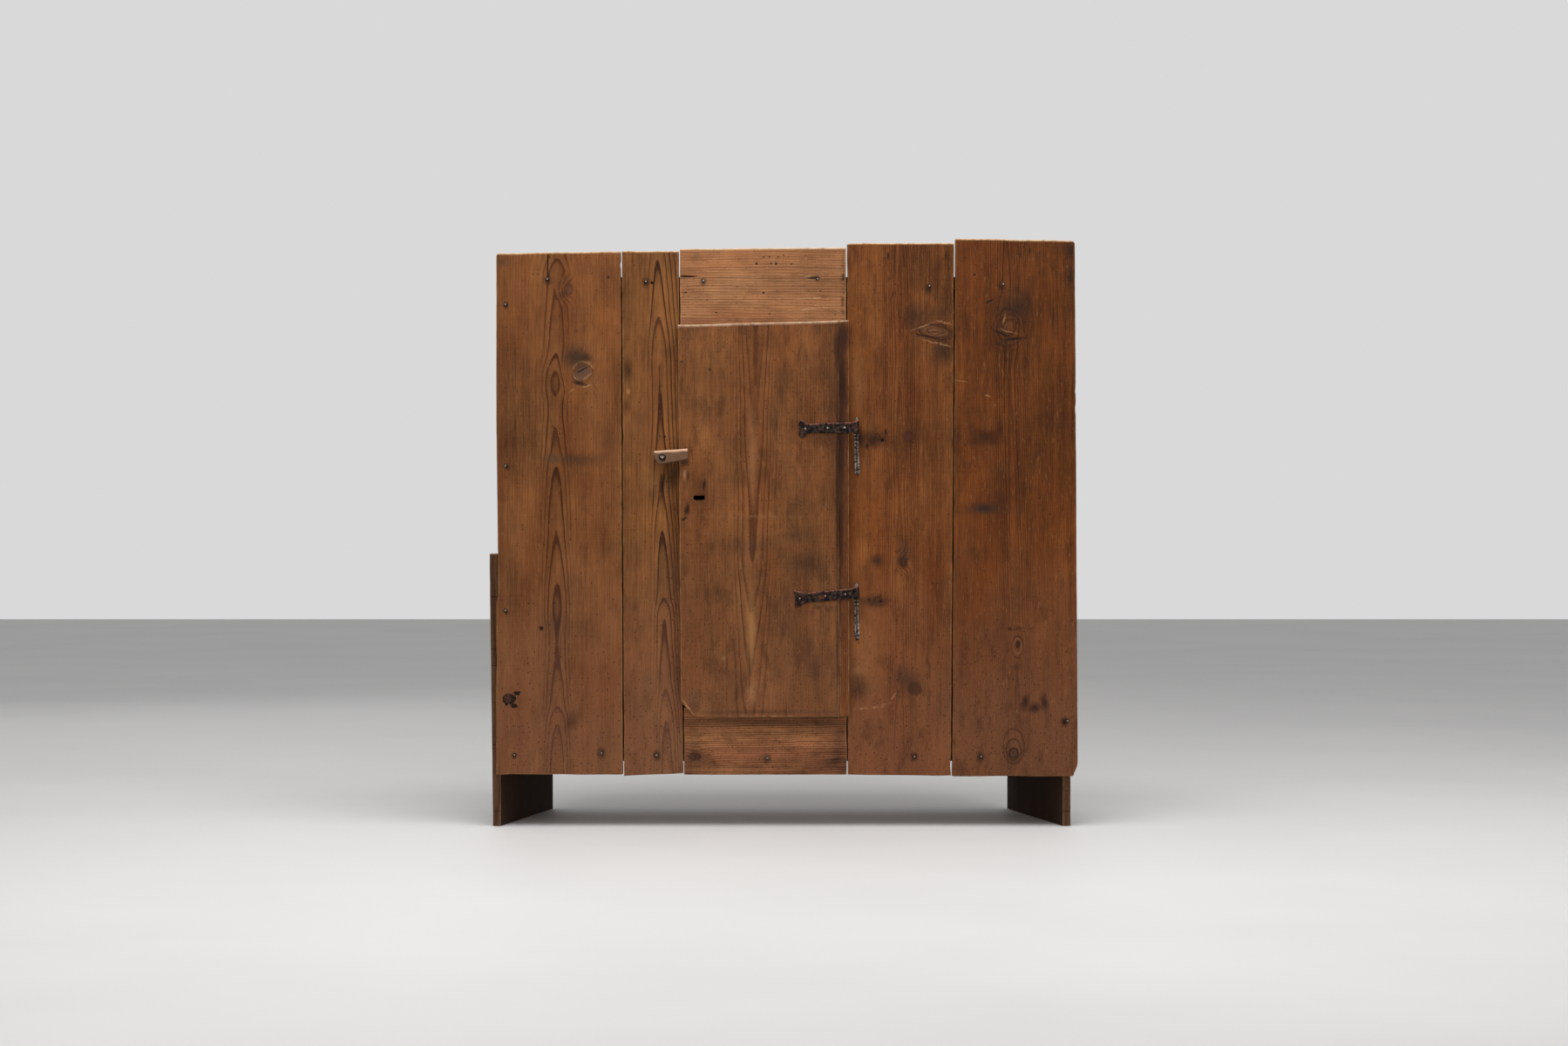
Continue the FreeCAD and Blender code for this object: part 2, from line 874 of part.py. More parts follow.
def button_taper():
    taper = shank(pivot_taper_width, pivot_depth)
    taper.Placement = FreeCAD.Placement(V(pivot_x, 0, pivot_height), FreeCAD.Rotation())
    return taper


# Nails in their places
def drive_front_nails():
    nails = Nails(front_nail_length)

    def across(left, right, base, thickness, places):
        for share, up in places:
            z = base + up * thickness
            nails.drive(V(between(left(z), right(z), share), 0, z), BACKWARD)

    top, top_thick = top_board_middle, top_board_thickness
    low, low_thick = bottom_shelf_middle, bottom_shelf_thickness
    across(left_edge, left_board_right, top, top_thick, [left_board_head_nail_share])
    across(latch_board_left, opening_left, top, top_thick, [latch_board_head_nail_share])
    across(opening_left, opening_right, top, top_thick, top_rail_nail_shares)
    across(opening_right, hinge_board_right, top, top_thick, [hinge_board_head_nail_share])
    across(right_board_left, right_edge, top, top_thick, [right_board_head_nail_share])
    across(left_edge, left_board_right, low, low_thick, left_board_foot_nail_shares)
    across(latch_board_left, opening_left, low, low_thick, [latch_board_foot_nail_share])
    across(opening_left, opening_right, low, low_thick, [bottom_rail_nail_share])
    across(opening_right, hinge_board_right, low, low_thick, [hinge_board_foot_nail_share])
    across(right_board_left, right_edge, low, low_thick, [right_board_foot_nail_share])
    left_x = (left_outer.x(front_back) + left_inner.x(front_back)) / 2
    for share in left_edge_nail_shares:
        nails.drive(V(left_x, 0, between(left_side_foot_height, top_board_height, share)), BACKWARD)
    right_x = (right_outer.x(front_back) + right_inner.x(front_back)) / 2
    nails.drive(V(right_x, 0, top_board_height * right_edge_nail_share), BACKWARD)
    return nails


def drive_back_nails():
    nails = Nails(back_nail_length)
    for left, right in back_spans():
        for share in back_nail_across_shares:
            for z in (bottom_shelf_middle, top_board_middle):
                nails.drive(V(between(left, right, share), carcass_back + back_thickness, z), FORWARD)
    return nails


def drive_side_nails():
    """Through each side into the ends of the bottom shelf, and down through the top board into each side."""
    nails = Nails(side_nail_length)
    for share in side_nail_depth_shares:
        y = between(front_back, carcass_back, share)
        nails.drive(plank_face(y, bottom_shelf_middle), plank_inward())
        nails.drive(V(right_outer.x(y), y, bottom_shelf_middle), -right_outer.normal())
    for outer, inner in ((left_outer, left_inner), (right_outer, right_inner)):
        for share in side_nail_depth_shares:
            y = between(front_back, carcass_back, share)
            nails.drive(V((outer.x(y) + inner.x(y)) / 2, y, top_board_top), -UP)
    return nails


def drive_plank_nails():
    nails = Nails(plank_nail_length)
    for depth_share in plank_nail_depth_shares:
        for height_share in plank_nail_height_shares:
            y = between(front_back, carcass_back, depth_share)
            z = between(left_side_foot_height, foot_plank_height, height_share)
            nails.drive(plank_face(y, z), plank_inward())
    return nails


def drive_cleat_nails():
    nails = Nails(cleat_nail_length)
    z = middle_shelf_height - cleat_height / 3
    for face, outward in ((left_inner.offset(cleat_width), -1), (right_inner.offset(-cleat_width), 1)):
        for share in cleat_nail_shares:
            y = between(front_back + cleat_end_setback, carcass_back - cleat_end_setback, share)
            nails.drive(V(face.x(y), y, z), face.normal() * outward)
    return nails


def drive_ledge_nails():
    nails = Nails(ledge_nail_length)
    for middle in (lower_ledge_height, upper_ledge_height):
        left, right = ledge_span(middle)
        for share in ledge_nail_shares:
            nails.drive(V(between(left, right, share), door_back + ledge_thickness, middle), FORWARD)
    return nails


def drive_strap_nails(eye_z, length, tilt, shares):
    nails = Nails(strap_nail_length, tack_shank_width, tack_head_radius, tack_head_height)
    for share in shares:
        x, z = strap_point(eye_z, tilt, length * share, 0)
        nails.drive(V(x, door_front - strap_thickness, z), BACKWARD)
    return nails


def drive_pintle_nails():
    nails = Nails(pintle_nail_length, tack_shank_width, tack_head_radius, tack_head_height)
    for eye_z in (upper_eye_height, lower_eye_height):
        nails.drive(pintle_nail_point(eye_z), BACKWARD)
    return nails


# Everything together
def build():
    front_nails = drive_front_nails()
    back_nails = drive_back_nails()
    side_nails = drive_side_nails()
    plank_nails = drive_plank_nails()
    cleat_nails = drive_cleat_nails()
    ledge_nails = drive_ledge_nails()
    upper = (upper_eye_height, upper_strap_length, upper_strap_tilt)
    lower = (lower_eye_height, lower_strap_length, lower_strap_tilt)
    upper_strap_nails = drive_strap_nails(*upper, upper_strap_nail_shares)
    lower_strap_nails = drive_strap_nails(*lower, lower_strap_nail_shares)
    pintle_nails = drive_pintle_nails()

    bottom_shelf = make_bottom_shelf()
    left_side = side_board(left_outer, left_inner, left_side_foot_height, top_board_height, False)
    right_side = side_board(right_inner, right_outer, 0, top_board_height, True)
    left_cleat = cleat(left_inner, left_inner.offset(cleat_width), left_inner.offset(cleat_width))
    right_cleat = cleat(right_inner.offset(-cleat_width), right_inner, right_inner.offset(-cleat_width))

    nodes = {
        "left_front_board": nailed(make_left_board(), front_nails),
        "latch_side_board": nailed(make_latch_board(), front_nails).cut(button_taper()).Solids[0],
        "top_rail": nailed(make_top_rail(), front_nails),
        "bottom_rail": nailed(make_bottom_rail(), front_nails),
        "hinge_side_board": nailed(make_hinge_board(), front_nails, pintle_nails),
        "right_front_board": nailed(make_right_board(), front_nails),
        "left_foot_plank": nailed(make_foot_plank(), plank_nails, side_nails),
        "left_side_board": nailed(
            left_side.cut(bottom_shelf).Solids[0], front_nails, side_nails, plank_nails, cleat_nails
        ),
        "right_side_board": nailed(
            right_side.cut(bottom_shelf).Solids[0], front_nails, side_nails, cleat_nails
        ),
        "bottom_shelf": nailed(bottom_shelf, front_nails, back_nails, side_nails),
        "middle_shelf": make_middle_shelf(),
        "top_board": nailed(make_top_board(), front_nails, back_nails, side_nails),
        "left_shelf_cleat": nailed(left_cleat, cleat_nails),
        "right_shelf_cleat": nailed(right_cleat, cleat_nails),
        "door_board": nailed(make_door_board(), ledge_nails, upper_strap_nails, lower_strap_nails),
        "door_edge_strip": nailed(make_edge_strip(), upper_strap_nails, lower_strap_nails),
        "upper_door_ledge": nailed(ledge(upper_ledge_height), ledge_nails),
        "lower_door_ledge": nailed(ledge(lower_ledge_height), ledge_nails),
        "upper_hinge_strap": nailed(strap(*upper, scalloped_tail_shares), upper_strap_nails),
        "lower_hinge_strap": nailed(strap(*lower, flared_tail_shares), lower_strap_nails),
        "upper_hinge_pintle": nailed(pintle(upper_eye_height), pintle_nails),
        "lower_hinge_pintle": nailed(pintle(lower_eye_height), pintle_nails),
        "turn_button": make_button(),
        "turn_button_nail": make_button_nail(),
        "front_nails": front_nails.solids(),
        "back_nails": back_nails.solids(),
        "side_nails": side_nails.solids(),
        "foot_plank_nails": plank_nails.solids(),
        "cleat_nails": cleat_nails.solids(),
        "ledge_nails": ledge_nails.solids(),
        "upper_strap_nails": upper_strap_nails.solids(),
        "lower_strap_nails": lower_strap_nails.solids(),
        "pintle_nails": pintle_nails.solids(),
    }
    for number, (span, drop_share) in enumerate(zip(back_spans(), back_head_drop_shares), 1):
        nodes[f"back_board_{number}"] = nailed(back_board(span, drop_share), back_nails)
    return nodes


def centred(nodes):
    """The nodes moved so that the origin is on the floor, in the middle of the whole cupboard's box."""
    box = Part.makeCompound(list(nodes.values())).BoundBox
    shift = V(-box.Center.x, -box.Center.y, 0)
    for shape in nodes.values():
        shape.translate(shift)
    return shift


def main():
    nodes = build()
    shift = centred(nodes)
    os.makedirs("parts", exist_ok=True)
    for name, shape in nodes.items():
        shape.exportStep(f"parts/{name}.step")
    print("door hinge axis at x, y:", hinge_x + shift.x, hinge_y + shift.y)
    print("turn button axis at x, z:", pivot_x + shift.x, pivot_height)
    print("front boards' front face at y:", shift.y)
    print("carcass back at y:", carcass_back + shift.y)
    print("shift:", shift.x, shift.y)


main()
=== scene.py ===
import math

import bmesh
import bpy
import numpy as np
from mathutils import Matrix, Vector, geometry


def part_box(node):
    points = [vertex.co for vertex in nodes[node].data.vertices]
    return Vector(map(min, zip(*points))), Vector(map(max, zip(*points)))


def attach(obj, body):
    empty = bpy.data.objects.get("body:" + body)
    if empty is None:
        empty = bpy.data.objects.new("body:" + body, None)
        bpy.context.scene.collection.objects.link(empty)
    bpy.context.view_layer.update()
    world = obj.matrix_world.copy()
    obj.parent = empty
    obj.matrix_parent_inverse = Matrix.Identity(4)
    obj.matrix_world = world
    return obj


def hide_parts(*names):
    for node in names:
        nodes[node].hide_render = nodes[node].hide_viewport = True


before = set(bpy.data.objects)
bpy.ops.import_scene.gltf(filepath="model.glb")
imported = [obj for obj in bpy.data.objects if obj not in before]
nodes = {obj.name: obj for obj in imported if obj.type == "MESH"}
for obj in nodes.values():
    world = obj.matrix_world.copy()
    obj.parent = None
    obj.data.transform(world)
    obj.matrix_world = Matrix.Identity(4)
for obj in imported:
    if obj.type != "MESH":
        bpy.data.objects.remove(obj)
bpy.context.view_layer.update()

# A rustic pine cupboard: old waxed planks with worn arrises, forged straps on pintles, a whittled turn button.
# Every plank is a fine mesh laid over its CAD solid's corners, with its wear in the mesh and its grain in nodes.
# Lengths inside the mesh and material code are in millimetres, because wood is thought of in millimetres.

toMetres = 0.001
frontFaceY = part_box("left_front_board")[0].y
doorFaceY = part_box("door_board")[0].y
print("frame loaded:", len(nodes), "CAD nodes")

# The camera stands far off and low, and looks level at the front
camera = {
    "distance": 6.57,
    "height": 0.628,
    "sideways": 0.0016,
    "lens": 73.06,
    "sensor": 36.0,
    "photoWidth": 1799,
    "photoHeight": 1200,
}


def seenAt(pixel, faceY=frontFaceY):
    # where a pixel of the photo falls on an upright face, as millimetres right and up
    away = faceY - frontFaceY + camera["distance"]
    step = away * camera["sensor"] / camera["lens"] / camera["photoWidth"]
    right = camera["sideways"] + (pixel[0] - camera["photoWidth"] / 2) * step
    up = camera["height"] + (camera["photoHeight"] / 2 - pixel[1]) * step
    return right / toMetres, up / toMetres


def setCamera():
    data = bpy.data.cameras.new("camera")
    data.lens = camera["lens"]
    data.sensor_width = camera["sensor"]
    obj = bpy.data.objects.new("camera", data)
    obj.location = (camera["sideways"], frontFaceY - camera["distance"], camera["height"])
    obj.rotation_euler = (math.radians(90), 0, 0)
    bpy.context.collection.objects.link(obj)
    bpy.context.scene.camera = obj


setCamera()


# Colours and nodes
def srgb(code):
    # one hex colour as linear RGBA
    parts = [int(code[i:i + 2], 16) / 255 for i in (1, 3, 5)]
    return (*[p / 12.92 if p <= 0.04045 else ((p + 0.055) / 1.055) ** 2.4 for p in parts], 1.0)


def addNode(tree, kind, settings=None, links=None):
    # each link comes from an output, or from a node, which stands for its first output
    node = tree.nodes.new("ShaderNode" + kind)
    for name, value in (settings or {}).items():
        if isinstance(name, int) or name in node.inputs:
            node.inputs[name].default_value = value
        else:
            setattr(node, name, value)
    for name, source in (links or {}).items():
        tree.links.new(source if isinstance(source, bpy.types.NodeSocket) else source.outputs[0], node.inputs[name])
    return node


def newMaterial(name):
    material = bpy.data.materials.new(name)
    material.use_nodes = True
    material.node_tree.nodes.clear()
    return material, material.node_tree


def addPlace(tree):
    # where each point of an object is, also in the object's own millimetres
    place = addNode(tree, "TexCoord")
    settings = {"operation": "SCALE", "Scale": 1 / toMetres}
    return place, addNode(tree, "VectorMath", settings, {0: place.outputs["Object"]})


def addPatterns(tree, place, patterns, start=(0, 0, 0)):
    # noises, each given as its cell size in millimetres along the three axes, its detail and its roughness
    made = {}
    for name, (size, detail, rough) in patterns.items():
        settings = {"operation": "MULTIPLY_ADD", 1: tuple(1 / s for s in size), 2: start}
        moved = addNode(tree, "VectorMath", settings, {0: place})
        made[name] = addNode(tree, "TexNoise", {"Scale": 1.0, "Detail": detail, "Roughness": rough}, {"Vector": moved})
    return made


def addSurface(tree, height, settings, links):
    # a height in millimetres as relief, under the shader
    relief = addNode(tree, "Bump", {"Strength": 1.0, "Distance": toMetres}, {"Height": height})
    surface = addNode(tree, "BsdfPrincipled", settings, {**links, "Normal": relief})
    addNode(tree, "OutputMaterial", {}, {"Surface": surface})


# Studio: each soft light has its power in watts, its size and its place in metres
studio = {
    "floorColour": "#F3F2F0",
    "floorCloud": "#E6E5E4",
    "floorHalf": 14.0,
    "backdropColour": "#D9D9DA",
    "worldColour": "#FFFFFF",
    "worldStrength": 0.29,
    "lights": {
        "overheadLight": (80.0, 2.4, (0.1, -1.5, 3.3)),
        "frontLight": (34.0, 3.2, (-0.5, -4.6, 2.2)),
        "rightLight": (14.0, 3.2, (3.6, -1.6, 1.6)),
        "backLight": (14.0, 3.2, (-2.2, 3.4, 2.6)),
    },
    "aim": (0, 0, 0.6),
}


def makeStudio():
    for name, (power, size, place) in studio["lights"].items():
        data = bpy.data.lights.new(name, "AREA")
        data.energy = power
        data.size = size
        obj = bpy.data.objects.new(name, data)
        obj.location = place
        obj.rotation_euler = (Vector(studio["aim"]) - Vector(place)).to_track_quat("-Z", "Y").to_euler()
        bpy.context.collection.objects.link(obj)

    world = bpy.data.worlds.new("studioWorld")
    world.use_nodes = True
    world.node_tree.nodes.clear()
    tree = world.node_tree
    lit = addNode(tree, "Background", {"Color": srgb(studio["worldColour"]), "Strength": studio["worldStrength"]})
    seen = addNode(tree, "Background", {"Color": srgb(studio["backdropColour"]), "Strength": 1.0})
    path = addNode(tree, "LightPath")
    shown = addNode(tree, "Math", {"operation": "MAXIMUM"},
                    {0: path.outputs["Is Camera Ray"], 1: path.outputs["Is Glossy Ray"]})
    mixed = addNode(tree, "MixShader", {}, {0: shown, 1: lit, 2: seen})
    addNode(tree, "OutputWorld", {}, {"Surface": mixed})
    bpy.context.scene.world = world


# Painted plaster floor: even, matt and pale, with the faintest cloudiness
def makeFloor():
    half = studio["floorHalf"]
    mesh = bpy.data.meshes.new("floor")
    mesh.from_pydata([(-half, -half, 0), (half, -half, 0), (half, half, 0), (-half, half, 0)], [], [(0, 1, 2, 3)])
    floor = bpy.data.objects.new("floor", mesh)
    bpy.context.collection.objects.link(floor)
    material, tree = newMaterial("paintedFloor")
    place = addNode(tree, "TexCoord")
    cloud = addNode(tree, "TexNoise", {"Scale": 1.4, "Detail": 3.0}, {"Vector": place.outputs["Object"]})
    tones = {6: srgb(studio["floorColour"]), 7: srgb(studio["floorCloud"])}
    tone = addNode(tree, "Mix", {"data_type": "RGBA", **tones}, {0: cloud})
    surface = addNode(tree, "BsdfPrincipled", {"Roughness": 0.6, "IOR": 1.45}, {"Base Color": tone.outputs[2]})
    addNode(tree, "OutputMaterial", {}, {"Surface": surface})
    mesh.materials.append(material)


makeStudio()
makeFloor()
bpy.context.scene.view_settings.view_transform = "Standard"
print("camera, lights and floor made")


# Mesh tools
def smoothNoise(points, seed):
    # value noise from 0 to 1 at an array of points, one cell to the unit
    cell = np.floor(points).astype(np.int64)
    part = points - cell
    part = part * part * (3 - 2 * part)
    total = np.zeros(len(points))
    for step in np.ndindex(2, 2, 2):
        # large odd numbers scatter the cells' values
        mixed = (cell + step) @ np.array([374761393, 668265263, 1442695041]) + seed * 144665
        mixed = (mixed ^ (mixed >> 13)) * 1274126177
        value = ((mixed ^ (mixed >> 16)) & 0xFFFF) / 65535
        total += value * np.prod(np.where(step, part, 1 - part), axis=1)
    return total


def fourCorners(points):
    # the corners where a board's four long sides would meet, with rounded or broken corners ignored
    straight = 0.9998
    hull = [points[i] for i in geometry.convex_hull_2d(points)]
    runs = []
    for i, start in enumerate(hull):
        side = Vector(hull[(i + 1) % len(hull)]) - Vector(start)
        if side.length < 1e-7:
            continue
        if runs and side.normalized().dot(runs[-1][1].normalized()) > straight:
            runs[-1][1] += side
        else:
            runs.append([Vector(start), side])
    if len(runs) > 4 and runs[0][1].normalized().dot(runs[-1][1].normalized()) > straight:
        runs[0][0] = runs[-1][0]
        runs[0][1] += runs.pop()[1]
    keep = sorted(sorted(range(len(runs)), key=lambda i: -runs[i][1].length)[:4])
    corners = []
    for i in range(4):
        a, b = runs[keep[i - 1]], runs[keep[i]]
        cross = a[1].x * b[1].y - a[1].y * b[1].x
        reach = ((b[0].x - a[0].x) * b[1].y - (b[0].y - a[0].y) * b[1].x) / cross
        corners.append(a[0] + a[1] * reach)
    return corners


def cadPoints(node):
    # the points of a CAD solid in millimetres
    return np.array([tuple(v.co) for v in nodes[node].data.vertices]) / toMetres


def slabCorners(node, plan, ways):
    # eight corners of a node's solid, in millimetres, indexed across the grain, along it and into the depth
    points = cadPoints(node)
    first, second = ("xyz".index(letter) for letter in plan)
    third = 3 - first - second
    flat = fourCorners([(p[first], p[second]) for p in points])
    longer = int(np.ptp([c[1] for c in flat]) > np.ptp([c[0] for c in flat]))
    halves = sorted(flat, key=lambda c: c[longer])
    result = np.zeros((2, 2, 2, 3))
    for i, half in enumerate((halves[:2], halves[2:])):
        for j, place in enumerate(sorted(half, key=lambda c: c[1 - longer])):
            for k, level in enumerate((points[:, third].min(), points[:, third].max())):
                rank = {(first, second)[longer]: i, (first, second)[1 - longer]: j, third: k}
                corner = np.zeros(3)
                corner[[first, second, third]] = place[0], place[1], level
                ranks = [(rank["xyz".index(way[1])], way[0]) for way in ways]
                result[tuple(at if sign == "+" else 1 - at for at, sign in ranks)] = corner
    return result


# Wear of every board, in millimetres
wear = {
    "lines": (0, 0.5, 1.1, 1.9, 3.0, 4.6, 7.0, 10.5),        # rows of the mesh beside an edge
    "edgeReach": 45.0,       # how far into a board a worn edge draws its surface
    "edgeWander": 0.45,
    "edgeRough": 0.2,
    "endWander": 1.2,
    "faceWave": 0.5,
    "backArris": 0.9,
    "attributeReach": 5.0,   # how far the paint of a rubbed arris reaches
}


def gridLines(length, step, extra=()):
    # fine rows beside each edge, where the wear is, and even ones between
    close = [d for d in wear["lines"] if d < length * 0.42]
    count = max(1, round((length - 2 * close[-1]) / step))
    middle = [close[-1] + (length - 2 * close[-1]) * i / count for i in range(1, count)]
    lines = close + middle + [length - d for d in reversed(close)]
    kept = [d for d in lines if all(abs(d - e) > 0.35 for e in extra)]
    return np.array(sorted([*kept, *extra]))


def latticeFaces(index, skip):
    # the quads of a box's six sides, leaving out the ones that skip marks on the two broad ones
    quads = []
    for axis in range(3):
        for end in (0, -1):
            sheet = np.take(index, end, axis=axis)
            cells = np.stack([sheet[:-1, :-1], sheet[1:, :-1], sheet[1:, 1:], sheet[:-1, 1:]], axis=-1)
            if axis == 2 and skip is not None:
                cells = cells[~skip]
            quads.append(cells.reshape(-1, 4))
    if skip is not None:
        for i, j in zip(*np.nonzero(skip)):
            for di, dj, a, b in ((-1, 0, (0, 0), (0, 1)), (1, 0, (1, 0), (1, 1)),
                                 (0, -1, (0, 0), (1, 0)), (0, 1, (0, 1), (1, 1))):
                if not skip[i + di, j + dj]:
                    p, q = (i + a[0], j + a[1]), (i + b[0], j + b[1])
                    quads.append(np.array([[index[p][0], index[q][0], index[q][-1], index[p][-1]]]))
    return np.concatenate(quads)


def bump(distance):
    # a smooth hill, 1 at the middle and 0 from a distance of 1 on
    return np.clip(1 - distance ** 2, 0, None) ** 2


def wornPoints(points, size, board):
    # moves the points of a sharp block to those of the old board, always inwards
    a, b, c = points.T.copy()
    la, lb, lc = size
    flat = np.zeros(len(a))

    def noise(u, v, w, extra):
        # each place below is divided by the length of its waves in millimetres
        return smoothNoise(np.stack([u, v, w], axis=1), board["seed"] * 31 + extra)

    edges = {"low": flat.copy(), "high": flat.copy()}
    for number, side in enumerate(edges):
        edges[side] += wear["edgeWander"] * noise(b / 70, flat + number, c / 60, 1) ** 2
        edges[side] += wear["edgeRough"] * noise(b / 11, flat + number, c / 12, 2)
    for bite in board["bites"]:
        reach = np.abs(b - bite["at"]) / bite["half"]
        ragged = 0.75 + 0.5 * noise(b / 6, c / 8, flat, 3)
        edges[bite["side"]] += bite["deep"] * bump(reach) * ragged
    for step in board["steps"]:
        # a broad, shallow loss with a sharp lower end
        up = (b - step["foot"]) / (step["head"] - step["foot"])
        deep = np.where(up < 0, 0, np.where(up < step["sharp"], up / step["sharp"], (1 - up) / (1 - step["sharp"])))
        edges[step["side"]] += step["deep"] * np.clip(deep, 0, 1)
    for cut in board["corners"]:
        end = b if cut["end"] == "foot" else lb - b
        if cut.get("round"):
            inside = np.clip(cut["along"] - end, 0, None)
            edges[cut["side"]] += cut["along"] - np.sqrt(np.clip(cut["along"] ** 2 - inside ** 2, 0, None))
        else:
            ragged = 1.6 * (noise(b / 5, c / 7, flat, 4) - 0.5) * (end < cut["along"])
            loss = np.clip(cut["across"] * (1 - end / cut["along"]), 0, None)
            edges[cut["side"]] += loss + np.clip(ragged, 0, None)
    reach = min(wear["edgeReach"], la * 0.45)
    a = a + edges["low"] * np.clip(1 - a / reach, 0, 1) - edges["high"] * np.clip(1 - (la - a) / reach, 0, 1)

    ends = board["endWear"] * wear["endWander"]
    foot = ends * (noise(a / 45, flat, c / 40, 5) ** 1.5 + 0.25 * noise(a / 5, flat, c / 6, 6))
    head = ends * (noise(a / 45, flat + 9, c / 40, 7) ** 1.5 + 0.25 * noise(a / 5, flat, c / 6, 8))
    reach = min(wear["edgeReach"], lb * 0.45)
    b = b + foot * np.clip(1 - b / reach, 0, 1) - head * np.clip(1 - (lb - b) / reach, 0, 1)

    front = wear["faceWave"] * (noise(a / 55, b / 240, flat, 9) + 0.35 * noise(a / 17, b / 110, flat, 10))
    front += board["cup"] * (2 * a / la - 1) ** 2
    for dent in board["dents"]:
        across, along = dent["place"]
        pitted = 0.6 + 0.8 * noise(a / 4, b / 4, flat, 13)
        away = np.hypot((a - across) / dent["size"][0], (b - along) / dent["size"][1])
        front += dent["deep"] * pitted * bump(away)
    for crack in board["cracks"]:
        middle = crack["lines"][1]
        near = np.abs(a - middle) < 1.5 * crack["wide"]
        start, end = crack["span"]
        share = np.clip(np.minimum(b - start, end - b) / crack.get("taper", 12.0) + 0.2, 0, 1) * (b > start) * (b < end)
        front += crack["deep"] * share * (np.abs(a - middle) < 0.01)
        a = a + near * 2.2 * (noise(b / 16, flat, flat, 14) - 0.5)
    c = c + front * np.clip(1 - c / lc, 0, 1)

    # every arris is rounded by an amount that changes along it
    radius = np.where(c < lc / 2, board["arris"], min(board["arris"], wear["backArris"]))
    radius = radius * (0.55 + 1.2 * noise(a / 28, b / 28, c / 28, 11) ** 2 + 0.35 * noise(a / 7, b / 7, c / 7, 12))
    moved = np.stack([a, b, c], axis=1)
    low = np.stack([edges["low"], foot, front * (c < lc / 2)], axis=1)
    high = np.array(size) - np.stack([edges["high"], head, flat], axis=1)
    radius = np.minimum(radius, lc * 0.45)[:, None]
    core = np.clip(moved, low + radius, high - radius)
    offset = moved - core
    length = np.linalg.norm(offset, axis=1)[:, None]
    return np.where(length > radius, core + offset / np.where(length > 0, length, 1) * radius, moved)


def onBoard(corners, pixel, faceY):
    # a pixel of the photo as millimetres across and along a board of the front
    origin = corners[0, 0, 0]
    sides = np.array([corners[1, 0, 0] - origin, corners[0, 1, 0] - origin])[:, [0, 2]]
    sides = sides / np.linalg.norm(sides, axis=1)[:, None]
    return np.linalg.solve(sides.T, np.array(seenAt(pixel, faceY)) - origin[[0, 2]])


def footTaper(node):
    # how much further in a board's low X is at its foot than at its head
    points = cadPoints(node)
    front = points[points[:, 1] < points[:, 1].min() + 12]
    return front[front[:, 2] < 12, 0].min() - front[:, 0].min()


usualBoard = {
    "plan": "xz", "ways": ("+x", "+z", "+y"),        # the object's axes across the grain, along it and into the wood
    "faceY": frontFaceY, "step": 8.0, "arris": 1.8, "endWear": 1.0, "cup": 0.0, "headHighlightReach": 3.6,
    "bites": (), "steps": (), "corners": (), "dents": (), "cracks": (), "hole": None, "tapered": False,
}


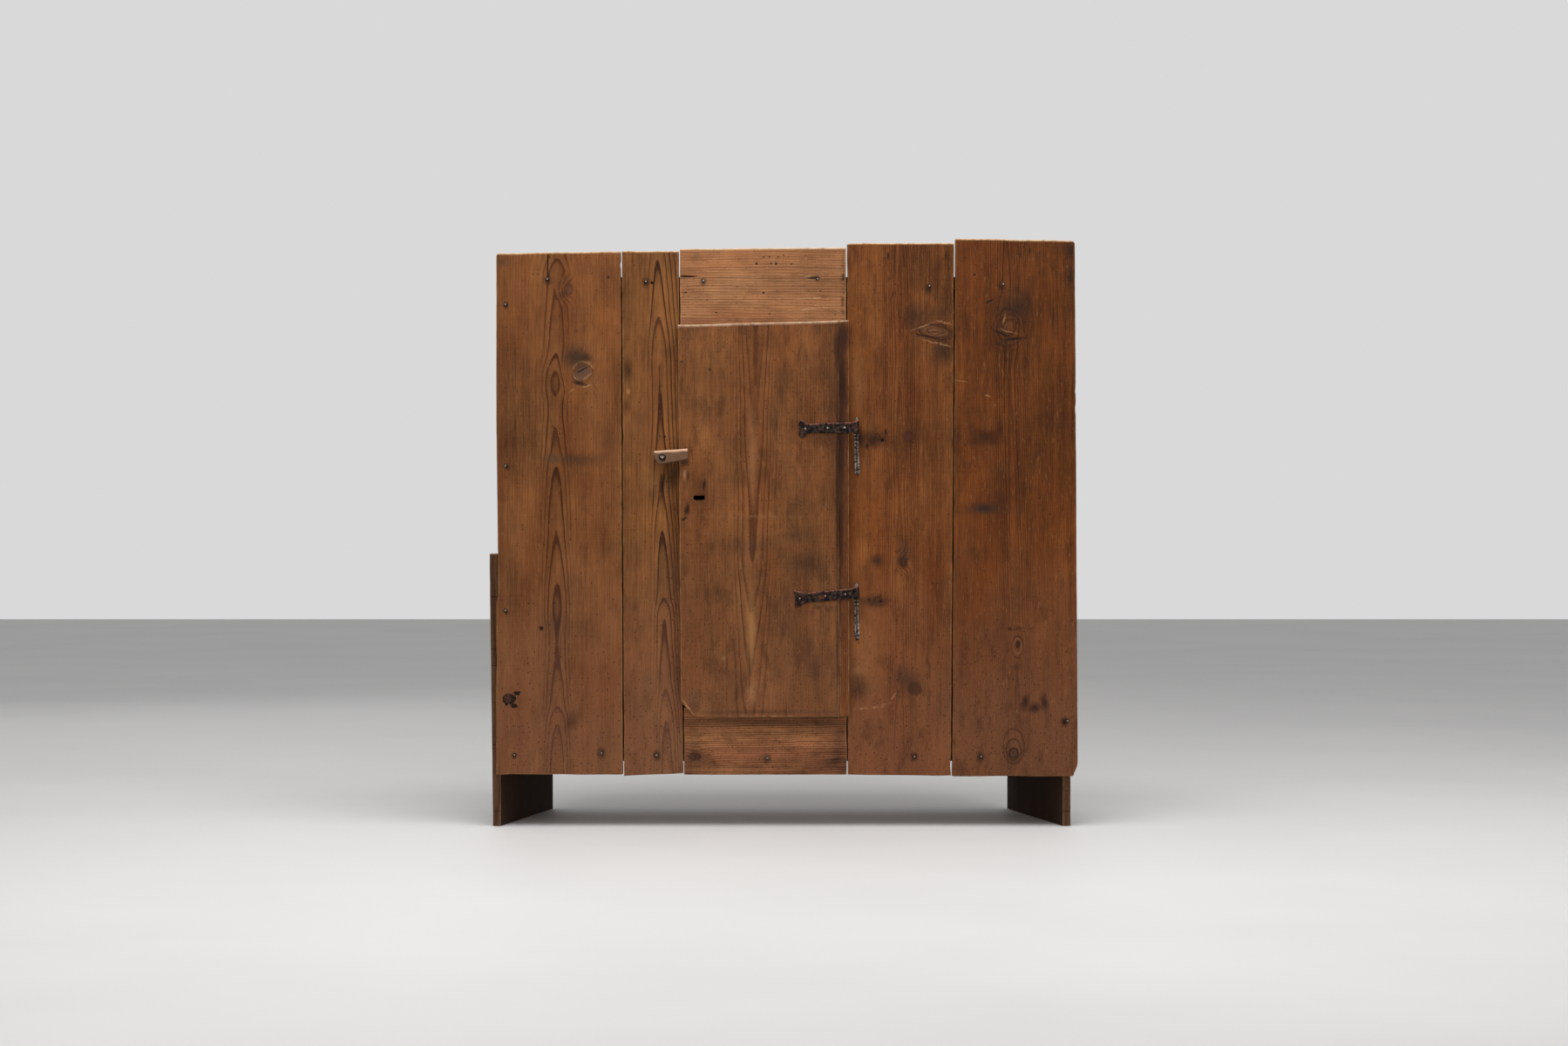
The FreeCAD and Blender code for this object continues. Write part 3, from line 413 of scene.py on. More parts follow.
def makeBoard(board, material, bodyName):
    corners = slabCorners(board["node"], board["plan"], board["ways"])
    if board["tapered"]:
        corners[:, 0, 0, 0] += footTaper(board["node"])
    for dent in board["dents"]:
        dent["place"] = onBoard(corners, dent["seen"], board["faceY"])
    for crack in board["cracks"]:
        ends = [onBoard(corners, pixel, board["faceY"]) for pixel in crack["seen"]]
        middle = (ends[0][0] + ends[1][0]) / 2
        crack["lines"] = [middle - crack["wide"], middle, middle + crack["wide"]]
        crack["span"] = sorted(end[1] for end in ends)
    size = []
    for axis in range(3):
        sides = np.take(corners, 1, axis=axis) - np.take(corners, 0, axis=axis)
        size.append(float(np.mean(np.linalg.norm(sides, axis=-1))))
    hole = board["hole"] or {"acrossLines": [], "alongLines": []}
    cracked = [line for crack in board["cracks"] for line in crack["lines"]]
    us = gridLines(size[0], board["step"], hole["acrossLines"] + cracked)
    vs = gridLines(size[1], board["step"] * 1.2, hole["alongLines"])
    ws = gridLines(size[2], max(board["step"] / 2, 4.0))
    grid = np.stack(np.meshgrid(us, vs, ws, indexing="ij"), axis=-1)
    onSurface = np.zeros(grid.shape[:3], bool)
    for axis in range(3):
        where = [slice(None)] * 3
        for end in (0, -1):
            where[axis] = end
            onSurface[tuple(where)] = True
    index = np.full(grid.shape[:3], -1)
    index[onSurface] = np.arange(onSurface.sum())
    points = grid[onSurface]
    skip = None
    if board["hole"]:
        middleU, middleV = (us[1:] + us[:-1]) / 2, (vs[1:] + vs[:-1]) / 2
        inU = (middleU > hole["acrossLines"][0]) & (middleU < hole["acrossLines"][-1])
        inV = (middleV > hole["alongLines"][0]) & (middleV < hole["alongLines"][-1])
        skip = inU[:, None] & inV[None, :]
    faces = latticeFaces(index, skip)

    fromSides = np.minimum(points, np.array(size) - points)
    nearEdge = np.clip(1 - np.sort(fromSides, axis=1)[:, 1] / wear["attributeReach"], 0, 1)
    atEnd = (fromSides[:, 1] < 0.01).astype(float)
    # the arris that faces up gets a painted highlight, as if lit from above
    upright = [way[1] for way in board["ways"]].index("z")
    others = np.delete(fromSides, upright, axis=1).min(axis=1)
    headHighlight = np.clip(1 - np.maximum(size[upright] - points[:, upright], others) / board["headHighlightReach"], 0, 1)

    worn = wornPoints(points, size, board)
    if board["hole"]:
        # the ends of the hole are worn round
        for line, near in zip(hole["acrossLines"], hole["rounding"]):
            here = np.abs(points[:, 0] - line) < 0.01
            for level, way in zip(hole["alongLines"], (1, 0.5, -0.5, -1)):
                worn[here & (np.abs(points[:, 1] - level) < 0.01), 1] += near * way
    share = worn / np.array(size)
    place = np.zeros((len(points), 3))
    for pick in np.ndindex(2, 2, 2):
        weight = np.prod(np.where(pick, share, 1 - share), axis=1)
        place += weight[:, None] * corners[pick]

    name = board["node"].replace("_", "-")
    mesh = bpy.data.meshes.new(name)
    mesh.from_pydata((place * toMetres).tolist(), [], faces.tolist())
    for title, values in (("nearEdge", nearEdge), ("atEnd", atEnd), ("headHighlight", headHighlight)):
        layer = mesh.attributes.new(title, "FLOAT", "POINT")
        layer.data.foreach_set("value", values.astype(np.float32))
    work = bmesh.new()
    work.from_mesh(mesh)
    bmesh.ops.delete(work, geom=[v for v in work.verts if not v.link_faces], context="VERTS")
    bmesh.ops.recalc_face_normals(work, faces=work.faces)
    for face in work.faces:
        face.smooth = True
    work.to_mesh(mesh)
    work.free()
    mesh.materials.append(material)
    obj = bpy.data.objects.new(name, mesh)
    bpy.context.collection.objects.link(obj)
    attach(obj, bodyName)
    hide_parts(board["node"])


# Old waxed pine, flat-sawn: the saw has cut the year rings as tall pointed flames near the heart and as fine
# straight lines beside them. Its late wood is darker and stands a little proud, because the soft wood has worn.
pinePatterns = {             # cell size across the grain, along it and into the wood, then detail and roughness
    "smear": ((9, 14, 9), 3.0, 0.6),           # makes the edges of marks ragged
    "sway": ((150, 520, 90), 2.0, 0.5),
    "ripple": ((24, 120, 20), 2.0, 0.5),
    "growth": ((30, 300, 30), 2.0, 0.5),       # quick and slow years
    "patch": ((60, 240, 60), 3.0, 0.5),
    "fibre": ((2.2, 48, 2.2), 3.0, 0.62),      # real fibres are a tenth of this, too fine to show
    "streak": ((5.5, 420, 5.5), 3.0, 0.6),
    "cloud": ((85, 130, 60), 4.0, 0.6),
    "saw": ((70, 2.6, 70), 2.0, 0.6),          # the faint steps that the saw left across the board
    "speck": ((2.6, 3.6, 2.6), 3.0, 0.7),
    "grime": ((22, 64, 22), 5.0, 0.68),
    "scuff": ((3.4, 20, 3.4), 4.0, 0.7),
    "wave": ((16, 90, 16), 2.0, 0.5),
    "dirt": ((2.0, 3.2, 2.0), 2.0, 0.6),
    "rub": ((10, 22, 10), 3.0, 0.65),
}
patternShows = {             # from where a pattern starts to show, to where it shows fully
    "patch": (0.3, 0.7), "cloud": (0.3, 0.7), "smear": (0.42, 0.58), "speck": (0.5, 0.6), "grime": (0.5, 0.72),
    "scuff": (0.58, 0.74), "dirt": (0.6, 0.68),
}
patternSteps = (7.31, 3.17, 5.93)              # how far apart two boards lie in the patterns
lateWoodCurve = ((0.0, 0.1), (0.06, 0.0), (0.5, 0.1), (0.72, 0.42), (0.9, 1.0), (0.965, 0.95), (1.0, 0.1))
pineRelief = {"late": 0.16, "fibre": 0.17, "saw": 0.09, "wave": 0.12, "knot": 0.5, "hole": 0.5}    # millimetres
# dark tones of dirt; side is the colour of the painted shade on the feet's inner faces
pineDirtAndShade = {"damp": "#2E1B12", "knotRim": "#2A1810", "hole": "#24130B", "side": "#1E110A"}
# the shade heights bound the painted shade on the inner faces of the feet
pineHeights = {              # in millimetres above the floor: where each dirt starts, and where it is full below
    "dustTop": 720.0, "dustFull": 330.0, "dustWander": 260.0, "dampFull": 100, "shadeTop": 150.0, "shadeFull": 125.0,
}
usualPine = {
    "sway": 9.0, "ripple": 1.1, "uneven": 0.35,                    # how far the rings wander, in millimetres
    "bold": 26.0, "boldAt": 0.0, "aside": 1.0, "faintest": 0.5,      # how boldly the late wood shows
    "fibres": 0.46, "streaks": 0.36, "clouds": 0.62, "sawn": 0.14,   # how far each one lightens and darkens
    "grime": 0.6, "scuffs": 0.4, "rubbed": 0.6, "dusty": 0.0, "dampFrom": 560, "shadedSide": 0.0,
    "gloss": 0.46, "matt": 0.68,
    "pinholes": {"cell": 9.0, "size": 1.3, "low": 0.7, "high": 0.3},
    "faded": {}, "knots": (), "marks": (), "stains": (),
}
usualHeart = {"lean": 0.0, "deep": 24.0, "near": 6.0, "far": 95.0}
usualKnot = {"ragged": 6.0, "coreRagged": 2.0, "strength": 0.6, "colour": "#4A3022", "rim": 0.35}


def flaw(colour, strength, **rest):
    # one stain, dent, scratch, painted shadow or painted highlight: where it was seen, its half width and half height,
    # and how its rim looks
    return {"colour": colour, "strength": strength, "soft": 0.5, "ragged": 6.0, **rest}


def makePine(name, look):
    material, tree = newMaterial(name)
    look = {**usualPine, **look}
    tones = look["tones"]
    heart = {**usualHeart, **look["heart"]}
    knots = [{**usualKnot, **knot} for knot in look["knots"]]
    letters = look["axes"]
    place, scaled = addPlace(tree)
    split = addNode(tree, "SeparateXYZ", {}, {0: scaled})
    across, along, depth = (split.outputs["XYZ".index(letter)] for letter in letters)
    grain = addNode(tree, "CombineXYZ", {}, {0: across, 1: along, 2: depth})
    patterns = addPatterns(tree, grain, pinePatterns, [look["seed"] * step for step in patternSteps])

    def total(*parts):
        result = parts[0]
        for part in parts[1:]:
            result = addNode(tree, "Math", {"operation": "ADD"}, {0: result, 1: part})
        return result

    def swing(title, amount):
        # a pattern that goes this far either way of zero
        return addNode(tree, "Math", {"operation": "MULTIPLY_ADD", 1: 2 * amount, 2: -amount}, {0: patterns[title]})

    def showing(title, most=1.0, least=0.0):
        # how much of a pattern shows
        start, end = patternShows[title]
        span = {"From Min": start, "From Max": end, "To Min": least, "To Max": most}
        return addNode(tree, "MapRange", span, {"Value": patterns[title]})

    def followed(value, points):
        # a curve through (place, height) points, both from 0 to 1
        follow = addNode(tree, "FloatCurve", {}, {"Value": value})
        curve = follow.mapping.curves[0]
        curve.points[0].location, curve.points[-1].location = points[0], points[-1]
        for x, y in points[1:-1]:
            curve.points.new(x, y)
        follow.mapping.update()
        return follow

    def profileAt(position, points):
        # a value that follows (place, value) pairs measured along or across a board
        start, end = points[0][0], points[-1][0]
        top = max(value for _, value in points)
        part = addNode(tree, "MapRange", {"From Min": start, "From Max": end}, {"Value": position})
        follow = followed(part, [((place - start) / (end - start), value / top) for place, value in points])
        return addNode(tree, "Math", {"operation": "MULTIPLY", 1: top}, {0: follow})

    settings = {"operation": "SUBTRACT", 1: (0.5, 0.5, 0.5)}
    smeared = addNode(tree, "VectorMath", settings, {0: patterns["smear"].outputs[1]})

    def fromMiddle(mark):
        # millimetres from a mark's middle, across and along the grain, with a ragged edge
        right, up = seenAt(mark["seen"], look["faceY"])
        spots = {"X": right, "Y": 0.0, "Z": up}
        ragged = addNode(tree, "VectorMath", {"operation": "SCALE", "Scale": mark["ragged"]}, {0: smeared})
        moved = addNode(tree, "VectorMath", {"operation": "ADD"}, {0: grain, 1: ragged})
        middle = (spots[letters[0]], spots[letters[1]], 0.0)
        local = addNode(tree, "VectorMath", {"operation": "SUBTRACT", 1: middle}, {0: moved})
        if "turn" in mark:
            local = addNode(tree, "VectorRotate", {"Angle": math.radians(mark["turn"])}, {"Vector": local})
        return local

    def spot(mark, size):
        # distance from a mark's middle, where 1 is its rim
        wide, tall = size if letters[0] == "X" else size[::-1]
        scale = {"operation": "MULTIPLY", 1: (1 / wide, 1 / tall, 0)}
        fitted = addNode(tree, "VectorMath", scale, {0: fromMiddle(mark)})
        if mark.get("square"):
            both = addNode(tree, "VectorMath", {"operation": "ABSOLUTE"}, {0: fitted})
            parts = addNode(tree, "SeparateXYZ", {}, {0: both})
            return addNode(tree, "Math", {"operation": "MAXIMUM"}, {0: parts.outputs[0], 1: parts.outputs[1]})
        return addNode(tree, "VectorMath", {"operation": "LENGTH"}, {0: fitted}).outputs["Value"]

    # how far each point is from the heart of the tree
    parted = total(swing("sway", look["sway"]), swing("ripple", look["ripple"]))
    for knot in knots:
        if "spread" in knot:
            # the grain parts and flows round the knot
            aside = addNode(tree, "SeparateXYZ", {}, {0: fromMiddle({**knot, "ragged": 1.0})})
            span = {"interpolation_type": "SMOOTHERSTEP", "To Min": -knot["spread"], "To Max": 0.0}
            near = addNode(tree, "MapRange", span, {"Value": spot(knot, knot["reach"])})
            parted = total(parted, addNode(tree, "Math", {"operation": "MULTIPLY"}, {0: aside, 1: near}))
    lean = {"operation": "MULTIPLY_ADD", 1: -heart["lean"], 2: -heart["at"]}
    sideways = total(across, addNode(tree, "Math", lean, {0: along}), parted)
    inward = addNode(tree, "Math", {"operation": "ADD", 1: heart["deep"] - look["face"]}, {0: depth})
    reach = addNode(tree, "CombineXYZ", {}, {0: sideways, 1: inward})
    distance = addNode(tree, "VectorMath", {"operation": "LENGTH"}, {0: reach}).outputs["Value"]
    # the trunk's taper shows only near its heart, where it points the flames
    away = addNode(tree, "Math", {"operation": "ABSOLUTE"}, {0: sideways})
    span = {"From Min": heart["near"], "From Max": heart["far"], "To Min": 1.0, "To Max": 0.0}
    nearHeart = addNode(tree, "MapRange", {"interpolation_type": "SMOOTHSTEP", **span}, {"Value": away})
    usual = sum(d for _, d in heart["depths"]) / len(heart["depths"])
    rise = addNode(tree, "Math", {"operation": "SUBTRACT", 1: usual}, {0: profileAt(along, heart["depths"])})
    taper = {"operation": "MULTIPLY_ADD", 2: usual - heart["deep"]}
    radius = total(distance, addNode(tree, "Math", taper, {0: rise, 1: nearHeart}))

    # the rings also bulge out where a branch once grew through them
    for knot in knots:
        span = {"interpolation_type": "SMOOTHERSTEP", "To Min": knot["push"], "To Max": 0.0}
        away = spot(knot, knot["reach"])
        radius = total(radius, addNode(tree, "MapRange", span, {"Value": away}))

    rings = addNode(tree, "Math", {"operation": "DIVIDE", 1: look["ringWidth"]}, {0: radius})
    wander = addNode(tree, "Math", {"operation": "SUBTRACT", 0: 1.06}, {1: nearHeart})
    wandering = addNode(tree, "Math", {"operation": "MULTIPLY"}, {0: swing("growth", look["uneven"]), 1: wander})
    ringPlace = total(rings, wandering)
    within = addNode(tree, "Math", {"operation": "FRACT"}, {0: ringPlace})
    whole = addNode(tree, "Math", {"operation": "FLOOR"}, {0: ringPlace})
    chance = addNode(tree, "TexWhiteNoise", {"noise_dimensions": "1D"}, {"W": whole})
    # the late wood darkens slowly towards the end of each year's ring, and ends sharply
    late = followed(within, lateWoodCurve)
    boldness = addNode(tree, "MapRange", {"To Min": look["faintest"], "To Max": 1.0}, {"Value": chance})
    offset = addNode(tree, "Math", {"operation": "SUBTRACT", 1: look["boldAt"]}, {0: sideways})
    offAxis = addNode(tree, "Math", {"operation": "ABSOLUTE"}, {0: offset})
    span = {"interpolation_type": "SMOOTHSTEP", "From Min": look["bold"], "From Max": look["bold"] + 20.0,
            "To Min": 1.0, "To Max": look["aside"]}
    beside = addNode(tree, "MapRange", span, {"Value": offAxis})
    boldHere = addNode(tree, "Math", {"operation": "MULTIPLY"}, {0: boldness, 1: beside})
    lateWood = addNode(tree, "Math", {"operation": "MULTIPLY"}, {0: late, 1: boldHere})
    for knot in knots:
        if "whorl" in knot:
            whorl = {"ragged": 5.0, "strength": 0.8, **knot["whorl"]}
            away = spot({**knot, "ragged": whorl["ragged"]}, whorl["reach"])
            turns = addNode(tree, "Math", {"operation": "MULTIPLY", 1: whorl["reach"][0] / whorl["ring"]}, {0: away})
            wave = addNode(tree, "Math", {"operation": "PINGPONG", 1: 0.5}, {0: turns})
            line = addNode(tree, "MapRange", {"From Min": 0.1, "From Max": 0.42, "To Max": 0.9}, {"Value": wave})
            span = {"interpolation_type": "SMOOTHSTEP", "From Min": 1.0, "From Max": 0.6, "To Max": whorl["strength"]}
            here = addNode(tree, "MapRange", span, {"Value": away})
            lateWood = addNode(tree, "Mix", {}, {0: here, 2: lateWood, 3: line})

    # colour and relief of the clean wood
    warmth = {6: srgb(tones["early"]), 7: srgb(tones["earlyWarm"])}
    early = addNode(tree, "Mix", {"data_type": "RGBA", **warmth}, {0: showing("patch")})
    wood = addNode(tree, "Mix", {"data_type": "RGBA", 7: srgb(tones["late"])}, {0: lateWood, 6: early.outputs[2]})
    light = total(swing("fibre", look["fibres"]), swing("streak", look["streaks"]), swing("cloud", look["clouds"]),
                  swing("saw", look["sawn"]))
    for way, position in (("along", along), ("across", across)):
        if way in look["faded"]:
            light = total(light, profileAt(position, look["faded"][way]))
    level = addNode(tree, "Math", {"operation": "ADD", 1: 1.0 - len(look["faded"])}, {0: light})
    wood = addNode(tree, "HueSaturation", {}, {"Color": wood.outputs[2], "Value": level})
    proud = addNode(tree, "Math", {"operation": "MULTIPLY", 1: pineRelief["late"]}, {0: lateWood})
    heights = [proud, *(swing(title, pineRelief[title]) for title in ("fibre", "saw", "wave"))]
    coats = []        # the share of the wood that each tone covers, in the order in which they lie

    if look["dusty"]:
        # mops and damp have greyed the wood low down
        drift = addNode(tree, "Math", {"operation": "MULTIPLY_ADD", 1: pineHeights["dustWander"]},
                        {0: patterns["patch"], 2: split.outputs["Z"]})
        span = {"From Min": pineHeights["dustTop"], "From Max": pineHeights["dustFull"], "To Max": look["dusty"]}
        dust = addNode(tree, "MapRange", span, {"Value": drift})
        dirt = addNode(tree, "Math", {"operation": "MULTIPLY"}, {0: showing("dirt", 1.1), 1: dust})
        coats += [(dust, tones["dust"]), (dirt, pineDirtAndShade["damp"])]
    coats += [(showing("grime", look["grime"]), tones["grime"]), (showing("scuff", look["scuffs"]), tones["scuff"])]
    for knot in knots:
        if "core" not in knot:
            continue
        away = spot({**knot, "ragged": knot["coreRagged"]}, knot["core"])
        span = {"interpolation_type": "SMOOTHSTEP", "From Min": 1.15, "From Max": 0.8, "To Max": knot["strength"]}
        inside = addNode(tree, "MapRange", span, {"Value": away})
        rim = addNode(tree, "MapRange", {"From Min": 0.75, "From Max": 1.0}, {"Value": away})
        rimWave = addNode(tree, "Math", {"operation": "PINGPONG", 1: 1.0}, {0: rim})
        rimInside = addNode(tree, "Math", {"operation": "LESS_THAN", 1: 1.25}, {0: away})
        rimDark = addNode(tree, "Math", {"operation": "MULTIPLY"}, {0: rimWave, 1: rimInside})
        rimShare = addNode(tree, "Math", {"operation": "MULTIPLY", 1: knot["rim"]}, {0: rimDark})
        coats += [(inside, knot["colour"]), (rimShare, pineDirtAndShade["knotRim"])]
        swirl = addNode(tree, "MapRange", {"To Min": 1.0, "To Max": 0.0, "From Max": 2.4}, {"Value": away})
        ridge = addNode(tree, "Math", {"operation": "MULTIPLY"}, {0: swirl, 1: lateWood})
        heights.append(addNode(tree, "Math", {"operation": "MULTIPLY", 1: pineRelief["knot"]}, {0: ridge}))

    specks, gaps = showing("speck"), showing("smear")

    def markShare(mark):
        far = spot(mark, mark["size"])
        if "ring" in mark:
            # only the mark's outline, this wide
            off = addNode(tree, "Math", {"operation": "SUBTRACT", 1: 1.0}, {0: far})
            apart = addNode(tree, "Math", {"operation": "ABSOLUTE"}, {0: off})
            far = addNode(tree, "Math", {"operation": "DIVIDE", 1: mark["ring"]}, {0: apart})
        span = {"From Min": 1 + mark["soft"] / 2, "From Max": 1 - mark["soft"], "To Max": mark["strength"]}
        share = addNode(tree, "MapRange", {"interpolation_type": "SMOOTHSTEP", **span}, {"Value": far})
        for way, pattern in (("broken", gaps), ("specked", specks)):
            if mark.get(way):
                share = addNode(tree, "Math", {"operation": "MULTIPLY"}, {0: share, 1: pattern})
        return share

    for mark in look["marks"]:
        share = markShare(mark)
        coats.append((share, mark["colour"]))
        if "dent" in mark:
            heights.append(addNode(tree, "Math", {"operation": "MULTIPLY", 1: -mark["dent"]}, {0: share}))

    # worm holes and pores: dark pinholes, thicker where the wood was damp
    pin = look["pinholes"]
    cells = addNode(tree, "VectorMath", {"operation": "SCALE", "Scale": 1 / pin["cell"]}, {0: grain})
    holes = addNode(tree, "TexVoronoi", {"Scale": 1.0, "voronoi_dimensions": "2D"}, {"Vector": cells})
    sizes = addNode(tree, "SeparateXYZ", {}, {0: holes.outputs["Color"]})
    span = {"From Min": look["dampFrom"], "From Max": pineHeights["dampFull"], "To Min": pin["high"],
            "To Max": pin["low"]}
    damp = addNode(tree, "MapRange", span, {"Value": split.outputs["Z"]})
    exists = addNode(tree, "Math", {"operation": "LESS_THAN"}, {0: sizes, 1: damp})
    span = {"To Min": pin["size"] * 0.3 / pin["cell"], "To Max": pin["size"] / pin["cell"]}
    width = addNode(tree, "MapRange", span, {"Value": sizes.outputs[1]})
    inHole = addNode(tree, "Math", {"operation": "LESS_THAN"}, {0: holes.outputs["Distance"], 1: width})
    pinhole = addNode(tree, "Math", {"operation": "MULTIPLY"}, {0: exists, 1: inHole})
    coats.append((addNode(tree, "Math", {"operation": "MULTIPLY", 1: 0.7}, {0: pinhole}), pineDirtAndShade["hole"]))
    heights.append(addNode(tree, "Math", {"operation": "MULTIPLY", 1: -pineRelief["hole"]}, {0: pinhole}))

    # arrises rubbed pale, end grain that has taken up the dirt, and a painted highlight along the upper arris
    edge, head, endFace = (
        addNode(tree, "Attribute", {"attribute_name": title}).outputs["Fac"]
        for title in ("nearEdge", "headHighlight", "atEnd")
    )
    rubbed = addNode(tree, "Math", {"operation": "MULTIPLY"}, {0: edge, 1: patterns["rub"]})
    span = {"From Min": 0.26, "From Max": 0.56, "To Max": look["rubbed"]}
    coats.append((addNode(tree, "MapRange", span, {"Value": rubbed}), tones["rubbed"]))
    coats += [(markShare(mark), mark["colour"]) for mark in look["stains"]]
    for where, title, span in (
        (endFace, "end", {"From Min": 0.35, "From Max": 0.65, "To Min": 0.35, "To Max": 0.8}),
        (head, "head", {"From Min": 0.3, "From Max": 0.6, "To Min": 0.45, "To Max": 1.3}),
    ):
        uneven = addNode(tree, "MapRange", span, {"Value": patterns["rub"]})
        share = addNode(tree, "Math", {"operation": "MULTIPLY", "use_clamp": True}, {0: where, 1: uneven})
        coats.append((share, tones[title]))

    if look["shadedSide"]:
        # painted shade: the inner faces of the feet are darkened nearly black below the shelf, as if in shadow
        facing = addNode(tree, "SeparateXYZ", {}, {0: place.outputs["Normal"]})
        span = {"From Min": 0.5 * look["shadedSide"], "From Max": 0.8 * look["shadedSide"]}
        inside = addNode(tree, "MapRange", span, {"Value": facing})
        span = {"From Min": pineHeights["shadeTop"], "From Max": pineHeights["shadeFull"], "To Max": 0.75}
        below = addNode(tree, "MapRange", span, {"Value": split.outputs["Z"]})
        coats.append((addNode(tree, "Math", {"operation": "MULTIPLY"}, {0: inside, 1: below}), pineDirtAndShade["side"]))

    colour = wood.outputs[0]
    for share, tone in coats:
        colour = addNode(tree, "Mix", {"data_type": "RGBA", 7: srgb(tone)}, {0: share, 6: colour}).outputs[2]
    wax = showing("cloud", look["matt"], look["gloss"])
    addSurface(tree, total(*heights), {"IOR": 1.5, "Specular IOR Level": 0.1}, {"Base Color": colour, "Roughness": wax})
    return material


# Front boards. The heart's depths are (height, depth) pairs: the rings point where the depth passes a ring.
# in each board's tones, head is the colour of the painted highlight along its upper arris
frontTones = {
    "early": "#81522D", "earlyWarm": "#6E3F1F", "late": "#3B1C0B", "rubbed": "#A27A50", "end": "#664630",
    "grime": "#3A200F", "scuff": "#A06E42", "head": "#E0B88C", "dust": "#744F3E",
}
frontPinholes = {"cell": 11.0, "size": 1.5, "low": 0.6, "high": 0.12}


def pineBoard(board, look, bodyName="carcass"):
    board = {**usualBoard, **board}
    name = board["node"].replace("_", " ") + " pine"
    usual = {"seed": board["seed"], "axes": "".join(way[1] for way in board["ways"]).upper(), "tones": frontTones,
             "faceY": board["faceY"], "face": board["faceY"] / toMetres}
    makeBoard(board, makePine(name, {**usual, **look}), bodyName)


def nailStain(pixel, size=9.0, strength=0.75):
    return flaw("#170D09", strength, seen=pixel, size=(size, size * 1.25), soft=0.9, ragged=4.0)


